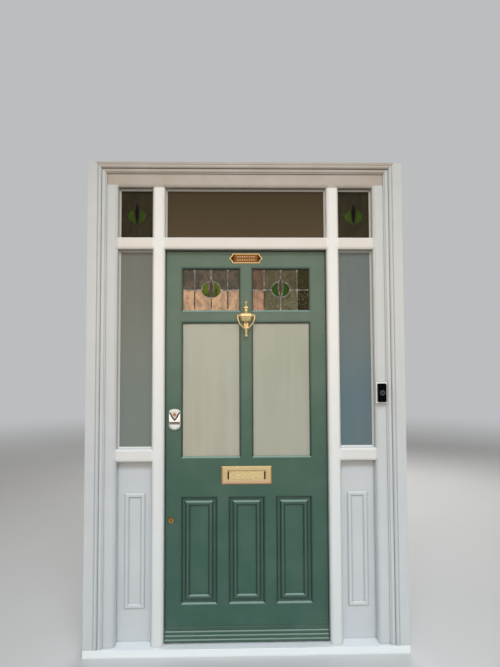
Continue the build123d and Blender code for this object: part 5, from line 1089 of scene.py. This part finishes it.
class DOOR_OT_pull(Operator):
    """Makes the cylinder pull: arched plate, shield's groove, scooped band, finger cup and ring"""
    bl_idname = "front_door.pull"
    bl_label = "Cylinder pull"

    THICKNESS = 6.0 * MM
    ARCH = 11.0 * MM
    FOOT_DROP = 24.0 * MM
    AXIS_DROP = 30.0 * MM       # from the plate's top to the cylinder's axis
    CUP_RISE = 30.0 * MM        # from the plate's foot to the cup's rim
    CUP_SIZES = (18.0 * MM, 29.5 * MM)
    CUP_WALL = 3.0 * MM
    SCOOP_RISE = 7.0 * MM       # from the cup's rim to the middle of the scooped band
    SCOOP_RADIUS = 12.0 * MM
    GROOVE_DEPTH = 2.8 * MM
    GROOVE_HALF = 4.5 * MM
    BAND_RISE = 18.0 * MM       # from the cup's rim to the top of the scooped band
    BORE = 6.7 * MM
    RING = 14.3 * MM
    RING_PROUD = 6.0 * MM
    # Millimetres from the plate's middle and top: the shield's left limb, down to its tip
    SHIELD = ((-34.0, -16.0), (-26.0, -22.5), (-20.5, -29.0), (-18.0, -35.5), (-14.5, -43.5), (-9.0, -51.5),
              (0.0, -61.0))

    def execute(self, context):
        low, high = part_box("cylinder_pull")
        self.centre = (low.x + high.x) / 2
        self.half = (high.x - low.x) / 2
        self.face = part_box("lock_stile")[0].y
        self.front = self.face - self.THICKNESS
        axis = (self.centre, high.z - self.AXIS_DROP)
        cup_top = low.z + self.CUP_RISE
        holder = placed("pull_plate", self.plate(high.z, low.z))
        plate = cut_by(holder, self.groove(high.z), self.scoop(cup_top + self.SCOOP_RISE), self.bore(axis))
        shape = bmesh.new()
        shape.from_mesh(plate)
        shape.from_mesh(self.cup(cup_top))
        self.ring(shape, axis, high.y)
        pull = placed("pull", softened(mesh_of("pull", shape), 32.0))
        wear(pull, nickel_finish(self.front, high.z, cup_top + self.BAND_RISE, axis, self.RING + 0.1 * MM))
        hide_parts("cylinder_pull")
        kept(pull, "leaf")
        return {"FINISHED"}

    def plate(self, top, foot):
        """Plate with an arched top and a round foot, its front edge eased."""
        half = self.half
        radius = (half * half + self.ARCH * self.ARCH) / (2 * self.ARCH)
        steps = 28
        outline = []
        for step in range(steps + 1):
            x = half - 2 * half * step / steps
            outline.append((self.centre + x, top - radius + (radius * radius - x * x) ** 0.5))
        for step in range(steps + 1):
            angle = pi + pi * step / steps
            outline.append((self.centre + half * cos(angle),
                            foot + self.FOOT_DROP + self.FOOT_DROP * sin(angle)))
        shape = bmesh.new()
        near = prism(shape, outline, self.front, self.face)
        rim = [edge for edge in shape.edges if all(corner in near for corner in edge.verts)]
        bmesh.ops.bevel(shape, geom=rim, offset=1.1 * MM, segments=3, affect="EDGES", profile=0.5)
        return mesh_of("pull_plate", shape)

    def bore(self, axis):
        """Rod that cuts the hole for the cylinder."""
        shape = bmesh.new()
        turns = [tau * step / 40 for step in range(40)]
        outline = [(axis[0] + self.BORE * cos(turn), axis[1] + self.BORE * sin(turn)) for turn in turns]
        prism(shape, outline, self.front - 4.0 * MM, self.face + 4.0 * MM)
        return mesh_of("bore", shape)

    def groove(self, top):
        """Sweep that cuts the shield's two limbs."""
        limb = rounded(self.SHIELD)
        path = limb + [(-x, z) for x, z in reversed(limb[:-1])]
        path = [(self.centre + x * MM, top + z * MM) for x, z in path]
        return groove_cutter("shield_groove", path, self.GROOVE_HALF, self.front, self.GROOVE_DEPTH, 1.0 * MM)

    def scoop(self, height):
        """Level rod that cuts the shallow band across the plate over the cup."""
        steps, spare = 48, 5.0 * MM
        axis_depth = self.front + self.GROOVE_DEPTH - self.SCOOP_RADIUS
        section = [(axis_depth + self.SCOOP_RADIUS * cos(tau * step / steps),
                    height + self.SCOOP_RADIUS * sin(tau * step / steps)) for step in range(steps)]
        shape = bmesh.new()
        left, right = ([shape.verts.new((self.centre + reach, *place)) for place in section]
                       for reach in (-self.half - spare, self.half + spare))
        shape.faces.new(left)
        shape.faces.new(right[::-1])
        joined(shape, right, left)
        return mesh_of("pull_scoop", shape)

    def cup(self, top):
        """Finger cup: a quarter bowl hung on the plate, hollow from above, with a rounded rim."""
        sizes = (self.half - 0.2 * MM, *self.CUP_SIZES)
        outer = self.bowl(top, sizes, 0.0)
        inner = self.bowl(top, tuple(size - self.CUP_WALL for size in sizes), 2.0 * MM)
        mesh = cut_by(placed("pull_cup", outer), inner)
        shape = bmesh.new()
        shape.from_mesh(mesh)
        bmesh.ops.remove_doubles(shape, verts=shape.verts[:], dist=0.01 * MM)
        level = [edge for edge in shape.edges
                 if all(abs(corner.co.z - top) < 0.01 * MM for corner in edge.verts)]
        rim = [edge for edge in level if len(edge.link_faces) == 2 and edge.calc_face_angle() > 0.8
               and edge.verts[0].co.y < self.front]
        bmesh.ops.bevel(shape, geom=rim, offset=0.8 * MM, segments=3, affect="EDGES", profile=0.5)
        return mesh_of("pull_cup", shape)

    def bowl(self, top, sizes, lift):
        """A quarter of an ellipsoid, its lower front, with flats in the plate and over its lifted top."""
        across, out, down = sizes
        steps, falls = 36, 16
        back = self.front + 2.0 * MM
        shape = bmesh.new()
        rows = []
        turns = [pi * step / steps for step in range(steps + 1)]
        for fall in range(falls):
            angle = pi / 2 * fall / falls
            rows.append([shape.verts.new((self.centre - across * cos(turn) * cos(angle),
                                          self.front - out * sin(turn) * cos(angle), top - down * sin(angle)))
                         for turn in turns])
        tip = shape.verts.new((self.centre, self.front, top - down))
        for upper, lower in zip(rows, rows[1:]):
            joined(shape, upper, lower, closed=False)
        for step in range(steps):
            shape.faces.new((rows[-1][step], rows[-1][step + 1], tip))
        seam = [row[0] for row in rows] + [tip] + [row[-1] for row in reversed(rows)]
        behind = [shape.verts.new((corner.co.x, back, corner.co.z)) for corner in seam]
        joined(shape, seam, behind, closed=False)
        crown = [*rows[0], behind[-1], behind[0]]
        if lift:
            raised = [shape.verts.new((corner.co.x, corner.co.y, corner.co.z + lift)) for corner in crown]
            joined(shape, crown, raised)
            crown = raised
        shape.faces.new(crown)
        shape.faces.new(behind)
        return mesh_of("pull_bowl", shape)

    def ring(self, shape, axis, back):
        """The cylinder: a rounded ring about the plug, and its body on into the leaf."""
        front, bore, outer = self.front - self.RING_PROUD, self.BORE, self.RING
        profile = [(bore, back), (bore, front + 0.8 * MM), (bore + 0.6 * MM, front + 0.2 * MM),
                   (bore + 1.6 * MM, front + 0.5 * MM), (outer - 3.4 * MM, front + 1.3 * MM),
                   (outer - 1.8 * MM, front + 0.3 * MM), (outer - 0.7 * MM, front + 0.5 * MM),
                   (outer, front + 1.5 * MM), (outer, back)]
        turned(shape, axis, profile)


class DOOR_OT_locks(Operator):
    """Finishes the locks, the latch, the hinges and what they close on"""
    bl_idname = "front_door.locks"
    bl_label = "Locks and hinges"

    def execute(self, context):
        rose = brass_finish("rose_brass", (0.72, 0.47, 0.16), (0.085, 0.050, 0.018), browning=(0.46, 0.62),
                            roughness=0.24, bevel_shade=0.9)
        plug = brass_finish("lower_plug_brass", (0.42, 0.27, 0.10), (0.12, 0.07, 0.03), roughness=0.3)
        lock = brass_finish("lock_brass", (0.56, 0.37, 0.12), (0.22, 0.13, 0.04), browning=(0.44, 0.62),
                            roughness=0.3)
        case = steel_finish("lock_case_steel", (0.50, 0.50, 0.50), (0.36, 0.36, 0.36))
        hinge = steel_finish("hinge_steel_satin", (0.56, 0.55, 0.52), (0.42, 0.41, 0.39))
        enamel = plastic_finish("latch_enamel_bronze", (0.13, 0.09, 0.05), (0.17, 0.12, 0.07), 0.35)
        dress(["lower_rose"], rose)
        dress(["lower_plug"], plug)
        dress(["cylinder_plug", "deadbolt", "latch_bolt", "turn_knob", "strike_plate"], lock)
        dress(["mortice_lock"], case)
        dress(["frame_hinge_flaps", "door_hinge_flaps", "hinge_pins"], hinge)
        dress(["latch_case", "latch_keep"], enamel)
        return {"FINISHED"}


class DOOR_OT_screws(Operator):
    """Drives the screws of the hinges, the lock, the strike, the latch, its keep and the plaque"""
    bl_idname = "front_door.screws"
    bl_label = "Screws"

    # Millimetres: the hinges' heights, and each flap's screws as (depth, height from the hinge's middle)
    HINGES = (326.0, 1154.0, 1983.0)
    FLAP_SCREWS = ((66.0, -38.0), (79.0, -13.0), (66.0, 13.0), (79.0, 38.0))
    # Millimetres: where the flaps' faces lie on the frame and on the leaf
    FRAME_FLAP, LEAF_FLAP = 458.7, 458.3
    # Millimetres: a group's places across, its depth and its heights, and the way that its heads face
    STRIKE = (-460.0,), 67.0, (641.0, 738.0), (1, 0, 0)
    FOREND = (-457.0,), 67.0, (634.0, 745.0), (-1, 0, 0)
    CASE = (-448.0, -372.0), 117.0, (1226.0, 1304.0), (0, 1, 0)
    KEEP = (-491.0,), 113.0, (1236.0, 1294.0), (0, 1, 0)
    PLAQUE = (-67.0, 67.0), 43.2, (2116.0, 2150.0), (0, -1, 0)
    PLAQUE_RADIUS = 2.6 * MM
    BURIED, LOW, RAISED = 0.16 * MM, 0.4 * MM, 0.6 * MM

    def execute(self, context):
        radius = context.scene.front_door.metal.screw_radius
        steel = steel_finish("screw_steel", (0.60, 0.59, 0.56), (0.40, 0.39, 0.37), 0.3)
        brass = brass_finish("screw_brass", (0.66, 0.46, 0.20), (0.34, 0.20, 0.08), roughness=0.3)
        dark = brass_finish("plaque_screw_brass", (0.16, 0.09, 0.035), (0.08, 0.045, 0.02), roughness=0.4)
        bronze = plastic_finish("latch_screw_bronze", (0.10, 0.07, 0.04), (0.15, 0.10, 0.06), 0.3)
        small = radius * 0.8
        flaps = [(depth, hinge + rise) for hinge in self.HINGES for depth, rise in self.FLAP_SCREWS]
        in_frame = [(self.FRAME_FLAP, *flap) for flap in flaps]
        in_leaf = [(self.LEAF_FLAP, *flap) for flap in flaps]
        self.drive("hinge_screws_frame", in_frame, (-1, 0, 0), "frame", "hinge_steel", radius, self.BURIED,
                   steel)
        self.drive("hinge_screws_leaf", in_leaf, (1, 0, 0), "leaf", "hinge_steel", radius, self.BURIED, steel)
        for name, (across, depth, heights, facing), body, slot, size, proud, material in (
                ("strike_screws", self.STRIKE, "frame", "brass", radius, self.LOW, brass),
                ("forend_screws", self.FOREND, "leaf", "brass", radius, self.LOW, brass),
                ("latch_case_screws", self.CASE, "leaf", "latch_enamel", small, self.RAISED, bronze),
                ("keep_screws", self.KEEP, "frame", "latch_enamel", small, self.RAISED, bronze),
                ("plaque_screws", self.PLAQUE, "leaf", "brass", self.PLAQUE_RADIUS, self.RAISED, dark)):
            places = [(x, depth, z) for x in across for z in heights]
            self.drive(name, places, facing, body, slot, size, proud, material)
        return {"FINISHED"}

    def drive(self, name, places, facing, body, slot, radius, proud, material):
        """One piece of screws, from their places in millimetres and the way that their heads face."""
        metres = [[size * MM for size in place] for place in places]
        seeds = seed_mesh(f"{name}_places", metres, [facing] * len(places))
        screw_recipe(name, radius, proud, material).make(name, seeds, body, slot)


class DOOR_OT_doorbell(Operator):
    """Finishes the bell push and its packer"""
    bl_idname = "front_door.doorbell"
    bl_label = "Doorbell"

    PUSH = (737.0 * MM, 1383.0 * MM)
    DISH_RADIUS = 8.6 * MM

    def execute(self, context):
        packer = plastic_finish("packer_white", (0.74, 0.74, 0.73), (0.78, 0.78, 0.77), 0.4)
        case = plastic_finish("bell_black", (0.0015, 0.0015, 0.002), (0.003, 0.003, 0.004), 0.35, 1.08)
        dress(["bell_packer"], packer)
        dress(["bell_case"], case)
        dress(["bell_button"], push_finish(self.PUSH, self.DISH_RADIUS))
        return {"FINISHED"}


class DOOR_PT_sidebar(Panel):
    """Lists the steps that dress the door"""
    bl_label = "Front door"
    bl_idname = "DOOR_PT_sidebar"
    bl_space_type = "VIEW_3D"
    bl_region_type = "UI"
    bl_category = "Front door"

    def draw(self, context):
        settings = context.scene.front_door
        for group in (settings.paint, settings.metal, settings.studio):
            box = self.layout.box()
            for name in group.bl_rna.properties.keys():
                if name not in ("name", "rna_type"):
                    box.prop(group, name)
        for step in STEPS:
            self.layout.operator(step.bl_idname)


STEPS = (
    DOOR_OT_stage,
    DOOR_OT_joinery,
    DOOR_OT_glazing,
    DOOR_OT_solder,
    DOOR_OT_brassware,
    DOOR_OT_knocker_band,
    DOOR_OT_letter_cheeks,
    DOOR_OT_pull,
    DOOR_OT_locks,
    DOOR_OT_screws,
    DOOR_OT_doorbell,
    DOOR_OT_draught_seal,
)
CLASSES = (DoorPaint, DoorMetal, DoorStudio, DoorSettings, *STEPS, DOOR_PT_sidebar)


def register():
    for item in CLASSES:
        bpy.utils.register_class(item)
    bpy.types.Scene.front_door = PointerProperty(type=DoorSettings)


def unregister():
    del bpy.types.Scene.front_door
    for item in reversed(CLASSES):
        bpy.utils.unregister_class(item)


def main():
    register()
    for step in STEPS:
        group, name = step.bl_idname.split(".")
        getattr(getattr(bpy.ops, group), name)()


if __name__ == "__main__":
    main()
